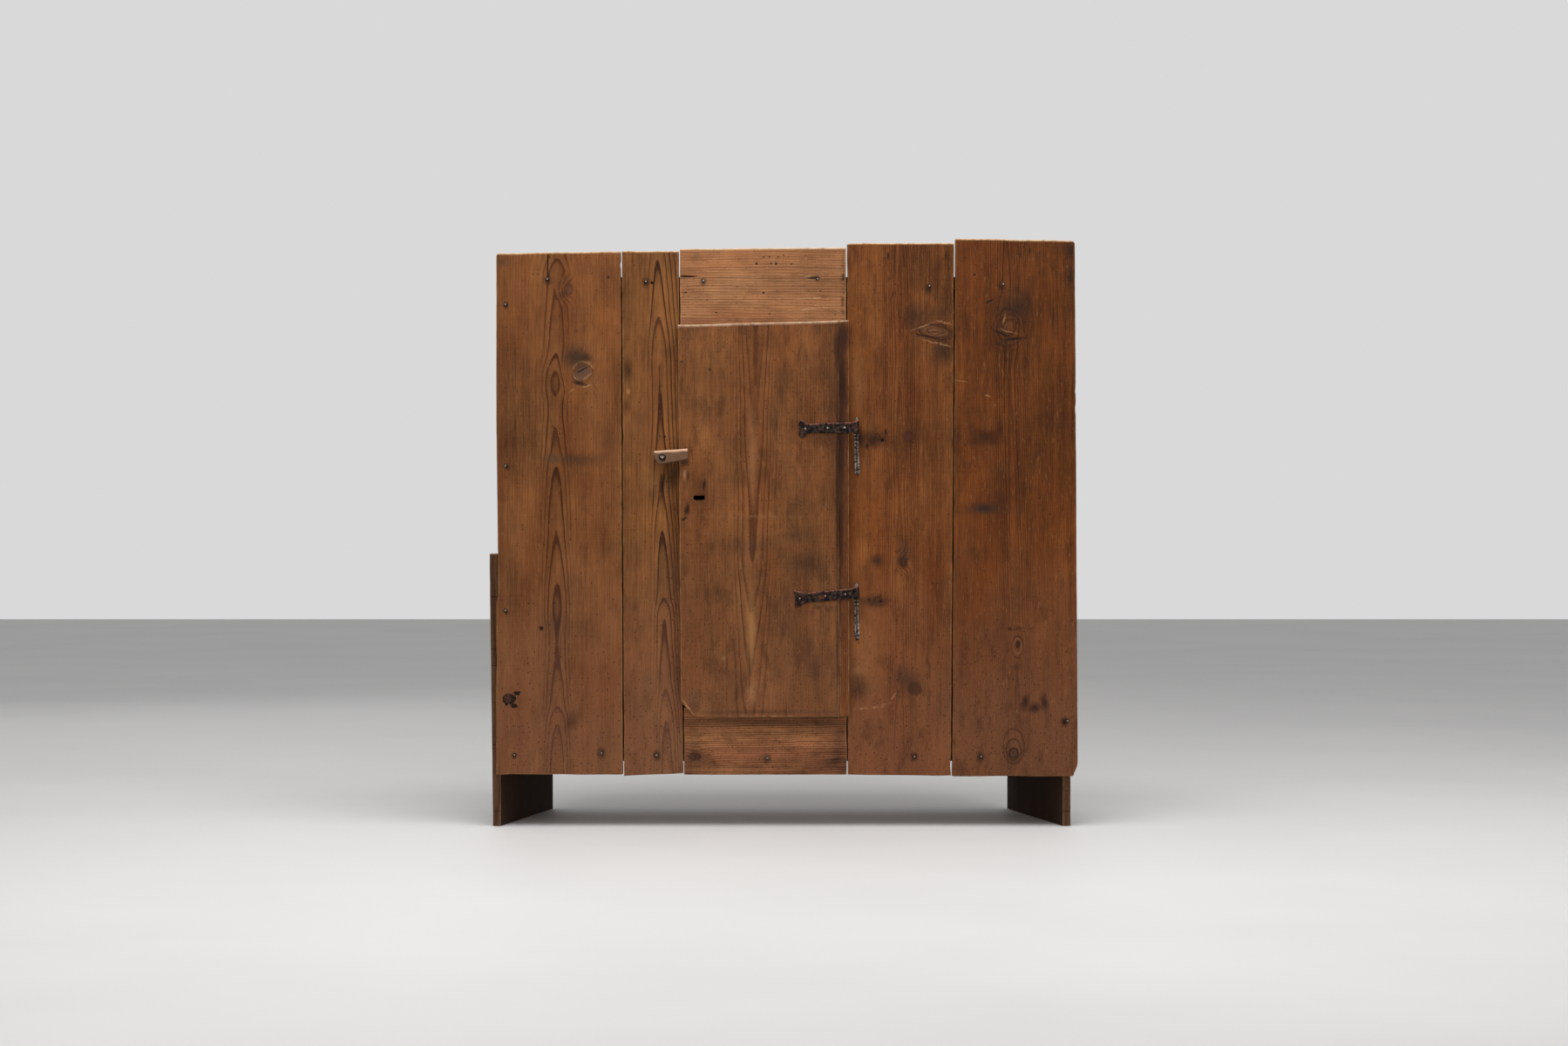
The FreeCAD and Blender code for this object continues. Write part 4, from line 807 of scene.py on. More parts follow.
leftBoard = {
    "board": {
        "node": "left_front_board", "seed": 1, "arris": 2.0, "step": 7.0, "cup": 0.6,
        "corners": [{"side": "low", "end": "head", "along": 7.0, "round": True}],
        "steps": [{"side": "low", "foot": 355.0, "head": 738.0, "sharp": 0.04, "deep": 4.6}],
        "bites": [
            {"side": "low", "at": 236.0, "half": 26.0, "deep": 1.6},
            {"side": "high", "at": 1052.0, "half": 9.0, "deep": 1.8},
        ],
        "dents": [
            {"seen": (585, 803), "size": (17, 16), "deep": 0.8},
            {"seen": (668, 430), "size": (20, 18), "deep": 0.9},
        ],
        "cracks": [{"seen": [(628.5, 283), (628.5, 326)], "wide": 1.0, "deep": 6.0}],
    },
    "look": {
        "heart": {"at": -468.6, "deep": 30.0, "depths": [
            (100, 65.5), (219, 70.0), (255, 75.0), (300, 77.2), (335, 78.7), (360, 79.2), (400, 79.3), (421, 78.7),
            (450, 78.0), (490, 78.9), (511, 80.0), (545, 81.8), (583, 83.5), (600, 84.3), (615, 84.6), (628, 85.0),
            (690, 87.2), (735, 89.0), (754, 90.2), (775, 92.2), (800, 93.6), (825, 94.6), (850, 95.6), (878, 95.5),
            (890, 94.6), (902, 93.5), (917, 92.9), (931, 93.5), (943, 94.6), (955, 96.4), (966, 98.2), (979, 99.6),
            (1040, 101.6), (1100, 103.6), (1136, 105.0), (1160, 107.5), (1177, 110.0), (1200, 112.0),
        ]},
        "faded": {
            "along": [(173, 1.03), (291, 1.13), (409, 0.95), (527, 0.97), (645, 0.96), (763, 0.86), (881, 0.82),
                (999, 1.01), (1117, 1.08)],
            "across": [(-567, 0.91), (-526, 1.01), (-485, 0.90), (-444, 1.02), (-404, 1.09), (-362, 1.05)],
        },
        "ringWidth": 5.0, "sway": 6.0, "aside": 0.26, "bold": 16.0, "faintest": 0.75,
        "grime": 0.3, "dusty": 0.4, "streaks": 0.3,
        "pinholes": frontPinholes,
        "knots": [
            {"seen": (652, 332), "reach": (34, 44), "push": 10.0, "spread": 0.4, "core": (8, 10), "colour": "#5A3C28",
             "strength": 0.5, "whorl": {"reach": (14, 18), "ring": 3.0, "strength": 0.5}},
            {"seen": (668, 428), "reach": (56, 74), "push": 24.0, "spread": 0.35, "turn": -24, "core": (19, 14),
             "colour": "#5C4438", "strength": 0.75, "rim": 0.25,
             "whorl": {"reach": (33, 30), "ring": 6.0, "strength": 0.45}},
            {"seen": (661, 380), "reach": (12, 16), "push": 3.0, "core": (3.4, 4), "colour": "#5A2E1A"},
            {"seen": (621, 721), "reach": (14, 20), "push": 4.0, "core": (4, 4.4), "colour": "#24150D",
             "strength": 0.95},
        ],
        "marks": [
            flaw("#120B08", 0.96, seen=(584, 803), size=(15, 12), soft=0.15, ragged=20.0, dent=0.8),
            flaw("#120B08", 0.95, seen=(593, 795), size=(8, 6), soft=0.2, ragged=16.0, dent=0.6),
            flaw("#120B08", 0.95, seen=(590, 810), size=(8, 4), soft=0.2, ragged=14.0, dent=0.6),
            flaw("#744E3C", 0.85, seen=(582, 802), size=(11, 9), soft=0.4, ragged=8.0, specked=True),
            flaw("#30271E", 0.85, seen=(660, 410), size=(30, 27), soft=0.9, ragged=12.0),
            flaw("#241A14", 0.7, seen=(673, 411), size=(15, 10), soft=1.0, ragged=8.0),
            flaw("#22130C", 0.95, seen=(668, 424.5), size=(15, 1.4), turn=-28, soft=0.4, ragged=2.5, dent=0.9),
            flaw("#261C14", 0.9, seen=(665, 440), size=(17, 5), turn=12, soft=0.7, ragged=7.0, dent=0.5),
            flaw("#B08860", 0.6, seen=(659, 446), size=(13, 1.7), turn=-34, soft=0.8, ragged=9.0, broken=True),
            flaw("#B08860", 0.6, seen=(673, 443), size=(14, 1.9), turn=-12, soft=0.8, ragged=9.0, broken=True),
            flaw("#B08860", 0.4, seen=(668, 425), size=(21, 17), turn=-28, ring=0.14, soft=0.9, broken=True),
            flaw("#2E2118", 0.6, seen=(645, 338), size=(13, 8), turn=-40, soft=1.1, ragged=7.0),
            flaw("#3A2A1E", 0.5, seen=(653, 324), size=(6, 14), soft=1.1, ragged=7.0),
            flaw("#36291C", 0.62, seen=(662, 527), size=(58, 14), soft=1.2, ragged=14.0),
            flaw("#4A4030", 0.5, seen=(634, 527), size=(17, 9), soft=1.1, ragged=9.0),
            flaw("#2C1E16", 0.62, seen=(655, 828), size=(15, 26), turn=20, soft=1.2, ragged=10.0),
            flaw("#4A2E1C", 0.4, seen=(696, 503), size=(24, 46), soft=1.4, ragged=14.0),
            flaw("#1E110A", 0.95, seen=(628.5, 305), size=(1.1, 29), soft=0.6, ragged=1.5, dent=1.0),
            flaw("#3E2A20", 0.55, seen=(575, 300), size=(16, 12), soft=1.2),
            flaw("#5C3015", 0.5, seen=(575, 560), size=(9, 300), soft=1.6),
            nailStain((628.5, 321.5)), nailStain((580.6, 350.5), 6.0), nailStain((582, 535.6), 6.0),
            nailStain((581, 702), 5.0), nailStain((590, 867), 6.0), nailStain((690, 864), 10.0, 0.7),
            flaw("#2C1A12", 0.7, seen=(698, 318), size=(4, 4)),
        ],
    },
}
latchBoard = {
    "board": {
        "node": "latch_side_board", "seed": 2, "arris": 1.7, "step": 7.0,
        "bites": [{"side": "low", "at": 700.0, "half": 22.0, "deep": 1.0}],
    },
    "look": {
        "heart": {"at": -238.6, "lean": -0.0175, "deep": 20.0, "depths": [
            (100, 58.0), (229, 62.4), (293, 67.6), (380, 71.2), (437, 72.8), (480, 78.0), (560, 80.6), (619, 83.2),
            (680, 86.8), (747, 88.4), (800, 91.0), (900, 92.9), (983, 93.6), (1064, 98.8), (1130, 101.5), (1200, 105.0),
        ]},
        "faded": {
            "along": [(176, 1.14), (295, 1.05), (413, 1.05), (531, 0.89), (649, 0.87), (767, 0.98), (884, 1.03),
                (1002, 0.83), (1120, 0.83)],
            "across": [(-309, 0.95), (-273, 1.03), (-236, 1.01)],
        },
        "ringWidth": 5.2, "sway": 5.0, "ripple": 1.4, "faintest": 0.75, "aside": 0.2, "boldAt": 16.0,
        "dusty": 0.5, "grime": 0.4,
        "pinholes": frontPinholes,
        "tones": {**frontTones, "early": "#88582F", "earlyWarm": "#754523", "late": "#34170A"},
        "marks": [
            nailStain((741, 324)),
            flaw("#160C07", 1.0, seen=(748, 324.5), size=(3.6, 3.6), soft=0.3, ragged=2.0, dent=1.0),
            flaw("#2C170E", 0.8, seen=(720, 424), size=(12, 24), soft=1.1, ragged=12.0),
            flaw("#3A1D10", 0.65, seen=(719, 466), size=(9, 16), soft=1.1, ragged=12.0),
            flaw("#B07A48", 0.6, seen=(721, 449), size=(4, 7), soft=0.9, ragged=5.0),
            flaw("#4A2E1E", 0.35, seen=(733, 482), size=(16, 24), soft=1.4, ragged=14.0),
            flaw("#1A0E08", 0.95, seen=(763, 501), size=(2.2, 2.6), soft=0.4, ragged=1.0, dent=0.7),
            flaw("#1A0E08", 0.8, seen=(757, 500), size=(1.8, 2.2), soft=0.4, ragged=1.0),
            flaw("#97693F", 0.35, seen=(745, 548), size=(18, 26), soft=1.2),
            # painted shadow of the turn button, on the board below it
            flaw("#33200F", 0.75, seen=(773, 547), size=(16, 36), turn=10, soft=0.9),
            flaw("#20110A", 0.85, seen=(761, 552), size=(4, 34), turn=6, soft=0.9, ragged=3.0),
            flaw("#6E4B34", 0.35, seen=(755, 790), size=(40, 30), soft=1.4),
            nailStain((753.5, 867), 9.0, 0.8),
            flaw("#4A2A18", 0.4, seen=(775, 690), size=(5, 110), soft=1.4),
        ],
    },
}
hingeBoard = {
    "board": {
        "node": "hinge_side_board", "seed": 3, "arris": 1.8, "step": 7.0, "cup": 0.4,
        "bites": [
            {"side": "low", "at": 1034.0, "half": 26.0, "deep": 0.9},
            {"side": "high", "at": 1000.0, "half": 36.0, "deep": 1.0},
            {"side": "high", "at": 24.0, "half": 20.0, "deep": 2.0},
        ],
    },
    "look": {
        "heart": {"at": 239.4, "deep": 14.0, "depths": [
            (100, 69.4), (250, 71.0), (403, 74.8), (500, 74.2), (600, 75.6), (680, 77.3), (760, 75.6), (860, 76.4),
            (960, 77.9), (1020, 77.8), (1080, 76.2), (1210, 79.0),
        ]},
        "faded": {
            "along": [(167, 1.30), (275, 1.10), (383, 1.09), (491, 1.03), (599, 1.02), (707, 1.03), (815, 0.91),
                (923, 0.92), (1031, 0.85), (1139, 0.83)],
            "across": [(189, 1.13), (233, 1.07), (277, 0.96), (322, 0.84)],
        },
        "ringWidth": 3.7, "sway": 6.0, "ripple": 0.8, "uneven": 0.5, "fibres": 0.6, "streaks": 0.46,
        "aside": 0.45, "dusty": 0.5, "pinholes": {**frontPinholes, "high": 0.16},
        "tones": {**frontTones, "early": "#7A4923", "earlyWarm": "#683717", "late": "#3E1D0A", "dust": "#744C38"},
        "knots": [
            {"seen": (1072, 380), "reach": (80, 50), "push": 20.0, "turn": 10, "core": (30, 11), "colour": "#7C563A",
             "strength": 0.4, "rim": 0.5, "whorl": {"reach": (56, 28), "ring": 9.0, "strength": 0.6, "ragged": 10.0}},
            {"seen": (1050, 790), "reach": (48, 48), "push": 12.0, "spread": 0.4, "core": (12, 12), "coreRagged": 12.0,
             "colour": "#38221A", "strength": 0.66},
            {"seen": (1042, 501), "reach": (26, 30), "push": 8.0, "core": (10, 10), "coreRagged": 8.0,
             "colour": "#46261A", "strength": 0.75},
            {"seen": (1036, 645), "reach": (24, 40), "push": 9.0, "core": (8, 12), "coreRagged": 6.0,
             "colour": "#341D14", "strength": 0.8},
            {"seen": (1025, 337), "reach": (12, 16), "push": 3.0, "core": (4, 4), "colour": "#4A2A1A"},
        ],
        "marks": [
            flaw("#2A1D16", 0.8, seen=(1050, 363), size=(29, 27), soft=1.2, ragged=14.0),
            flaw("#3E2A1C", 0.45, seen=(1075, 360), size=(22, 14), soft=1.2, ragged=10.0),
            flaw("#2A1D15", 0.85, seen=(1081, 403), size=(27, 29), soft=1.2, ragged=12.0),
            flaw("#A87C54", 0.6, seen=(1059, 374), size=(24, 2.2), turn=-20, soft=0.8, ragged=8.0, dent=-0.4),
            flaw("#A87C54", 0.6, seen=(1083, 370), size=(17, 2.0), turn=14, soft=0.8, ragged=8.0, dent=-0.4),
            flaw("#24160E", 0.5, seen=(1072, 381), size=(38, 17), turn=8, ring=0.1, soft=0.9, ragged=14.0),
            flaw("#24160E", 0.55, seen=(1073, 380), size=(17, 7), turn=6, ring=0.18, soft=0.9, ragged=8.0),
            flaw("#2A180F", 0.75, seen=(1071, 381), size=(20, 1.5), turn=2, soft=0.6, ragged=4.0, dent=0.5),
            flaw("#1E120B", 0.9, seen=(1067, 387), size=(34, 2.0), turn=13, soft=0.6, ragged=4.0, dent=0.8),
            flaw("#A27850", 0.6, seen=(1073, 393), size=(40, 2.2), turn=13, soft=0.8, ragged=8.0, broken=True),
            flaw("#1E120D", 0.9, seen=(1006, 503), size=(34, 19), soft=0.8, ragged=12.0, specked=True),
            # painted shadow beside the upper pintle's neck
            flaw("#160C08", 0.8, seen=(986, 502), size=(9, 24), soft=0.8, ragged=5.0),
            flaw("#29180F", 0.82, seen=(1002, 504), size=(29, 18), soft=0.9, ragged=12.0),
            flaw("#4C3222", 0.5, seen=(1000, 486), size=(10, 18), soft=1.2, ragged=10.0),
            flaw("#0E0805", 1.0, seen=(1012.5, 505), size=(4.2, 4.6), soft=0.4, ragged=3.0, dent=0.9),
            flaw("#150C08", 0.8, seen=(1016, 496), size=(3, 9), soft=0.7, ragged=5.0),
            flaw("#150C08", 0.75, seen=(995, 512), size=(4, 7), soft=0.7, ragged=5.0),
            flaw("#1E120D", 0.9, seen=(1006, 689), size=(35, 16), soft=0.7, ragged=10.0, specked=True),
            flaw("#2C1B14", 0.78, seen=(1003, 690), size=(32, 14), soft=0.8, ragged=9.0),
            flaw("#120A06", 0.95, seen=(1011, 690), size=(3.2, 3.2), ragged=2.0, dent=0.7),
            flaw("#120A06", 0.9, seen=(997, 688), size=(2.6, 2.6), ragged=2.0),
            flaw("#33201A", 0.65, seen=(1007, 643), size=(12, 12), soft=1.0, ragged=9.0, specked=True),
            flaw("#30221A", 0.8, seen=(1007, 643), size=(15, 14), soft=1.1, ragged=9.0),
            flaw("#3A2A20", 0.6, seen=(1037, 634), size=(16, 24), soft=1.3, ragged=9.0),
            flaw("#33251D", 0.66, seen=(1042, 781), size=(30, 27), soft=1.3, ragged=14.0),
            flaw("#2A1E17", 0.7, seen=(985, 788), size=(24, 26), soft=1.2, ragged=12.0),
            flaw("#1E130E", 0.6, seen=(984, 790), size=(20, 22), soft=1.0, ragged=12.0, specked=True),
            flaw("#B0825A", 0.6, seen=(995, 812.5), size=(36, 2.6), turn=-5, soft=0.9, broken=True),
            flaw("#A87C56", 0.5, seen=(1015, 808), size=(15, 2.4), turn=-14, soft=0.9, broken=True),
            flaw("#A87C56", 0.5, seen=(1025, 799), size=(9, 2.4), turn=-55, soft=0.9, ragged=5.0),
            flaw("#9C6C45", 0.4, seen=(984, 770), size=(20, 10), soft=1.2),
            flaw("#1E110A", 0.9, seen=(1019, 294), size=(2.0, 9), soft=0.6, ragged=3.0, dent=0.9),
            flaw("#1E110A", 0.8, seen=(1085, 293), size=(1.6, 8), soft=0.6, ragged=3.0, dent=0.7),
            flaw("#9A6A3F", 0.3, seen=(993, 745), size=(30, 90), soft=1.5),
            flaw("#9A6A3F", 0.4, seen=(985, 440), size=(14, 60), soft=1.5),
            nailStain((1065, 331.5)), nailStain((1049, 868), 8.0, 0.85),
            flaw("#3A2418", 0.45, seen=(1011, 851), size=(8, 10), soft=1.1),
        ],
    },
}
rightBoard = {
    "board": {
        "node": "right_front_board", "seed": 4, "arris": 2.1, "step": 7.0, "cup": 0.6,
        "corners": [
            {"side": "high", "end": "head", "along": 8.0, "round": True},
            {"side": "high", "end": "foot", "along": 24.0, "across": 9.5},
        ],
        "bites": [
            {"side": "high", "at": 760.0, "half": 14.0, "deep": 1.4},
            {"side": "high", "at": 800.0, "half": 9.0, "deep": 1.2},
            {"side": "low", "at": 460.0, "half": 30.0, "deep": 0.8},
        ],
        "dents": [
            {"seen": (1157, 388), "size": (34, 7), "deep": 1.2},
            {"seen": (1222, 828), "size": (9, 9), "deep": 0.9},
        ],
    },
    "look": {
        "heart": {"at": 490.4, "lean": -0.026, "deep": 13.0, "depths": [
            (100, 66.0), (160, 67.4), (250, 68.6), (330, 69.6), (400, 70.6), (450, 71.4), (520, 70.2), (640, 71.0),
            (800, 72.4), (950, 73.4), (1080, 74.2), (1220, 76.8),
        ]},
        "faded": {
            "along": [(172, 1.35), (281, 1.14), (389, 1.21), (497, 1.17), (605, 1.07), (713, 0.93), (822, 0.82),
                (930, 0.82), (1038, 0.80), (1146, 0.84)],
            "across": [(384, 1.11), (430, 1.11), (477, 0.96), (524, 0.91), (572, 0.92)],
        },
        "ringWidth": 3.9, "sway": 7.0, "ripple": 0.9, "uneven": 0.5, "fibres": 0.6, "streaks": 0.46,
        "aside": 0.4, "dusty": 0.62, "pinholes": frontPinholes,
        "tones": {**frontTones, "early": "#6D3C18", "earlyWarm": "#5C2F10", "late": "#331607", "rubbed": "#936B46",
                  "dust": "#6C4834"},
        "knots": [
            {"seen": (1157, 376), "reach": (72, 110), "push": 0.0, "spread": 0.75, "turn": 14, "core": (9, 15),
             "colour": "#7A5034", "strength": 0.2, "rim": 0.1,
             "whorl": {"reach": (48, 60), "ring": 9.0, "strength": 0.6, "ragged": 18.0}},
            {"seen": (1168, 739), "reach": (34, 66), "push": 0.0, "spread": 0.6, "core": (4.5, 8), "colour": "#24140E",
             "strength": 0.75, "whorl": {"reach": (13, 26), "ring": 5.0, "strength": 0.6, "ragged": 7.0}},
            {"seen": (1163, 864), "reach": (50, 70), "push": 0.0, "spread": 0.7, "core": (9, 9), "colour": "#3E2A1E",
             "strength": 0.6, "rim": 0.4, "whorl": {"reach": (24, 36), "ring": 6.0, "strength": 0.7, "ragged": 8.0}},
        ],
        "marks": [
            flaw("#2C160B", 0.7, seen=(1131, 501), size=(34, 18), square=True, soft=0.9, ragged=8.0),
            flaw("#2C1409", 0.6, seen=(1147, 489), size=(8, 22), soft=1.0),
            flaw("#28221D", 0.8, seen=(1131, 583), size=(25, 10), soft=0.9, ragged=10.0),
            flaw("#2E221B", 0.55, seen=(1127, 584), size=(54, 15), soft=1.2, ragged=14.0),
            flaw("#241711", 0.75, seen=(1228, 288), size=(12, 18), soft=1.0, ragged=8.0),
            flaw("#221510", 0.7, seen=(1228, 317), size=(6, 22), soft=0.9, ragged=8.0),
            flaw("#20120B", 0.8, seen=(1181, 288), size=(2.6, 9), soft=0.8, dent=0.6),
            flaw("#1A0F09", 0.95, seen=(1135, 346), size=(10, 2.4), turn=-28, soft=0.6, ragged=4.0, dent=0.8),
            flaw("#2C1A12", 0.6, seen=(1170, 292), size=(4, 6), soft=0.9, ragged=5.0),
            flaw("#180D08", 0.95, seen=(1118, 315), size=(2.2, 2.8), soft=0.4, dent=0.7),
            flaw("#2A1D15", 0.78, seen=(1165, 352), size=(38, 32), soft=1.2, ragged=12.0),
            flaw("#1E110B", 0.85, seen=(1149, 383), size=(24, 3.0), turn=22, soft=0.7, ragged=5.0, dent=0.9),
            flaw("#1E110B", 0.85, seen=(1163, 389), size=(26, 3.0), turn=-4, soft=0.7, ragged=5.0, dent=0.9),
            flaw("#A27850", 0.6, seen=(1156, 380), size=(20, 1.7), turn=14, soft=0.8, ragged=9.0, dent=-0.4),
            flaw("#A27850", 0.6, seen=(1152, 366), size=(2.0, 12), turn=16, soft=0.8, ragged=9.0, dent=-0.4),
            flaw("#24160E", 0.5, seen=(1157, 368), size=(17, 26), turn=-12, ring=0.1, soft=0.9, ragged=14.0),
            flaw("#2C1B12", 0.4, seen=(1164, 362), size=(38, 54), turn=-10, ring=0.05, soft=0.9, ragged=14.0),
            flaw("#24160E", 0.65, seen=(1153, 392), size=(22, 1.8), turn=-14, soft=0.8, ragged=7.0, dent=0.6),
            flaw("#3A2619", 0.5, seen=(1143, 374), size=(9, 10), soft=1.0),
            flaw("#1E1412", 0.8, seen=(1176, 806), size=(8, 18), turn=12, soft=0.9, ragged=9.0),
            flaw("#1E1412", 0.8, seen=(1187, 812), size=(14, 12), soft=0.9, ragged=9.0),
            flaw("#1E1412", 0.8, seen=(1198, 806), size=(8, 20), turn=-6, soft=0.9, ragged=9.0),
            flaw("#241510", 0.75, seen=(1109, 762), size=(13, 4), soft=0.8, ragged=8.0, specked=True),
            flaw("#1C100C", 0.85, seen=(1164, 721), size=(17, 5), soft=0.8, ragged=8.0, broken=True),
            flaw("#241510", 0.6, seen=(1186, 722), size=(10, 7), soft=0.9, ragged=8.0, specked=True),
            flaw("#2A1812", 0.55, seen=(1141, 748), size=(22, 40), soft=1.2, ragged=12.0, specked=True),
            flaw("#3A2418", 0.5, seen=(1165, 765), size=(8, 6), soft=1.0),
            flaw("#8C6242", 0.25, seen=(1168, 741), size=(8, 15), ring=0.2, soft=0.9, ragged=5.0),
            flaw("#2C1B12", 0.5, seen=(1167, 742), size=(12, 22), ring=0.12, soft=0.9),
            flaw("#1E120C", 0.6, seen=(1163, 864), size=(9, 10), ring=0.2, soft=0.9, ragged=5.0),
            flaw("#2C1B12", 0.6, seen=(1163, 860), size=(15, 22), ring=0.12, soft=0.9),
            flaw("#2C1B12", 0.5, seen=(1163, 856), size=(22, 36), ring=0.08, soft=0.9, ragged=7.0),
            flaw("#A8784E", 0.7, seen=(1133, 454), size=(8, 1.2), turn=14, soft=0.6),
            flaw("#96683F", 0.6, seen=(1102, 437), size=(18, 1.2), turn=10, soft=0.6),
            flaw("#49301F", 0.35, seen=(1110, 640), size=(26, 60), soft=1.4, ragged=16.0),
            flaw("#4C3A30", 0.4, seen=(1150, 536), size=(8, 14), soft=1.1, broken=True),
            nailStain((1150, 328.5)), nailStain((1125, 869), 9.0, 0.75), nailStain((1221.5, 828), 8.0, 0.95),
        ],
    },
}
for entry in (leftBoard, latchBoard, hingeBoard, rightBoard):
    pineBoard(entry["board"], entry["look"])
print("front boards made")

# Rails: their grain runs sideways. The upper one is younger wood, paler and drilled by worm.
railWays = ("+z", "+x", "+y")
# bites of worm in the top rail: where each shows, how wide and tall it is, and its lean
wormHoles = (
    (868, 302.5, 2.4, 3.4, 30), (884.6, 302.5, 1.8, 2.6, 0), (890.4, 302.5, 2.2, 3.4, -20), (908, 303, 2.6, 1.6, 20),
    (876, 295, 2.4, 1.4, 10), (883, 294.6, 2.2, 1.4, 0), (893, 295, 2.6, 1.4, -20), (899, 293, 1.6, 1.6, 0),
    (876, 336, 3, 2, 30), (821.6, 358.7, 2.2, 1.6, 0), (883, 360, 2.6, 1.6, 20), (787, 335.5, 2.4, 1.8, 0),
    (941, 334, 3.6, 1.4, 10), (811, 344, 1.6, 1.4, 0), (846, 329, 1.6, 1.4, 0),
)
topRail = {
    "board": {
        "node": "top_rail", "seed": 5, "arris": 1.6, "step": 6.0, "ways": railWays,
        "cracks": [
            {"seen": [(774, 317.5), (801, 317.5)], "wide": 1.2, "deep": 7.0},
            {"seen": [(924, 319), (943, 319)], "wide": 1.2, "deep": 3.0, "taper": 8.0},
        ],
    },
    "look": {
        "heart": {"at": 830.0, "depths": [(-240, 40.0), (-100, 44.0), (0, 38.0), (60, 42.0), (150, 40.0)]},
        "faded": {
            "across": [(1063, 1.15), (1090, 1.07), (1117, 0.85), (1144, 0.90), (1170, 1.03)],
            "along": [(-181, 1.01), (-127, 1.06), (-72, 1.03), (-17, 0.98), (38, 0.94), (93, 0.84)],
        },
        "ringWidth": 5.4, "sway": 10.0, "ripple": 2.2, "uneven": 0.5, "clouds": 0.5, "gloss": 0.5,
        # head: painted highlight along the rail's upper arris
        "tones": {"early": "#A4744E", "earlyWarm": "#966340", "late": "#6E432A", "rubbed": "#C09570", "end": "#7C5638",
                  "grime": "#6A452B", "scuff": "#C39468", "head": "#E6C39C"},
        "marks": [
            flaw("#1A0E08", 1.0, seen=(789, 317), size=(19, 1.3), turn=-3, ragged=2.0, dent=1.2),
            flaw("#170D07", 1.0, seen=(933, 319), size=(15, 2.0), turn=0, ragged=3.0, dent=1.0),
            flaw("#170D07", 0.9, seen=(924, 316.5), size=(7, 1.3), turn=20, ragged=3.0, dent=0.8),
            flaw("#BC9068", 0.5, seen=(926, 317), size=(9, 3), soft=0.9, ragged=5.0),
            *(flaw("#2A180E", 0.95, seen=(x, y), size=(w, h), turn=turn, ragged=1.5, dent=0.6)
              for x, y, w, h, turn in wormHoles),
            flaw("#5E4634", 0.5, seen=(800, 292), size=(30, 9), soft=1.2, ragged=14.0, broken=True),
            flaw("#4A3020", 0.6, seen=(785, 336), size=(6, 4), soft=1.0, ragged=5.0),
            flaw("#C49A70", 0.55, seen=(930, 342), size=(34, 2.0), turn=4, soft=0.9, broken=True),
            flaw("#C49A70", 0.55, seen=(932, 354), size=(36, 2.0), turn=4, soft=0.9, broken=True),
            flaw("#4A2C19", 0.7, seen=(945, 340), size=(14, 1.2), soft=0.7, dent=0.6),
            flaw("#8E5244", 0.5, seen=(795, 368), size=(36, 5), soft=1.2),
            flaw("#2E1B10", 0.85, seen=(967, 330), size=(5, 66), soft=0.8, broken=True),
            nailStain((807, 323), 7.0), nailStain((937, 318.5), 6.0, 0.5),
        ],
        "pinholes": {"cell": 12.0, "size": 1.2, "low": 0.4, "high": 0.4},
    },
}
bottomRail = {
    "board": {"node": "bottom_rail", "seed": 6, "arris": 1.6, "step": 6.0, "ways": railWays},
    "look": {
        "heart": {"at": -20.0, "depths": [(-220, 50.0), (-60, 54.0), (40, 50.0), (150, 53.0)]},
        "faded": {
            "across": [(130, 0.83), (162, 1.21), (194, 0.98)],
            "along": [(-164, 1.08), (-100, 1.08), (-37, 1.00), (27, 0.91), (92, 0.85)],
        },
        "ringWidth": 4.4, "ripple": 1.6, "uneven": 0.5, "streaks": 0.5, "clouds": 1.2,
        # head: painted highlight along the rail's upper arris
        "tones": {**frontTones, "early": "#8F613D", "earlyWarm": "#885439", "late": "#4E2F1B", "head": "#8E6644"},
        "knots": [
            {"seen": (797, 868), "reach": (50, 34), "push": 10.0, "core": (12, 7), "colour": "#2A1A14",
             "strength": 0.5},
        ],
        "marks": [
            flaw("#2A1C16", 0.6, seen=(797, 868), size=(30, 24), soft=1.2, ragged=12.0),
            flaw("#150D09", 0.7, seen=(798, 866), size=(20, 14), soft=1.0, ragged=10.0, specked=True),
            # painted shadow of the door along the rail's top, together with grime
            flaw("#2E1D14", 0.62, seen=(877, 828), size=(172, 11), soft=1.1),
            flaw("#3A2218", 0.4, seen=(963, 855), size=(12, 40), soft=1.3, ragged=10.0),
            flaw("#1E110B", 0.85, seen=(960, 871), size=(13, 2.2), turn=6, soft=0.7, dent=0.7),
            flaw("#4A2C1E", 0.5, seen=(915, 866), size=(6, 4), soft=1.0),
            flaw("#A06A50", 0.4, seen=(960, 857), size=(14, 1.2), soft=1.0),
            nailStain((880, 870.5), 9.0, 0.7),
        ],
        "pinholes": {"cell": 7.0, "size": 1.2, "low": 0.85, "high": 0.5},
    },
}
pineBoard(topRail["board"], topRail["look"])
pineBoard(bottomRail["board"], bottomRail["look"])
print("rails made")

# Door: one wide board and a narrow strip beside it, darkened by hands and by what once ran down it
# head: painted highlight along the door's upper arris
doorTones = {
    "early": "#7B4E2B", "earlyWarm": "#6C3E1F", "late": "#4A2814", "rubbed": "#AE8559", "end": "#4C3220",
    "grime": "#382113", "scuff": "#9A7149", "head": "#C4A284", "dust": "#7A5642",
}


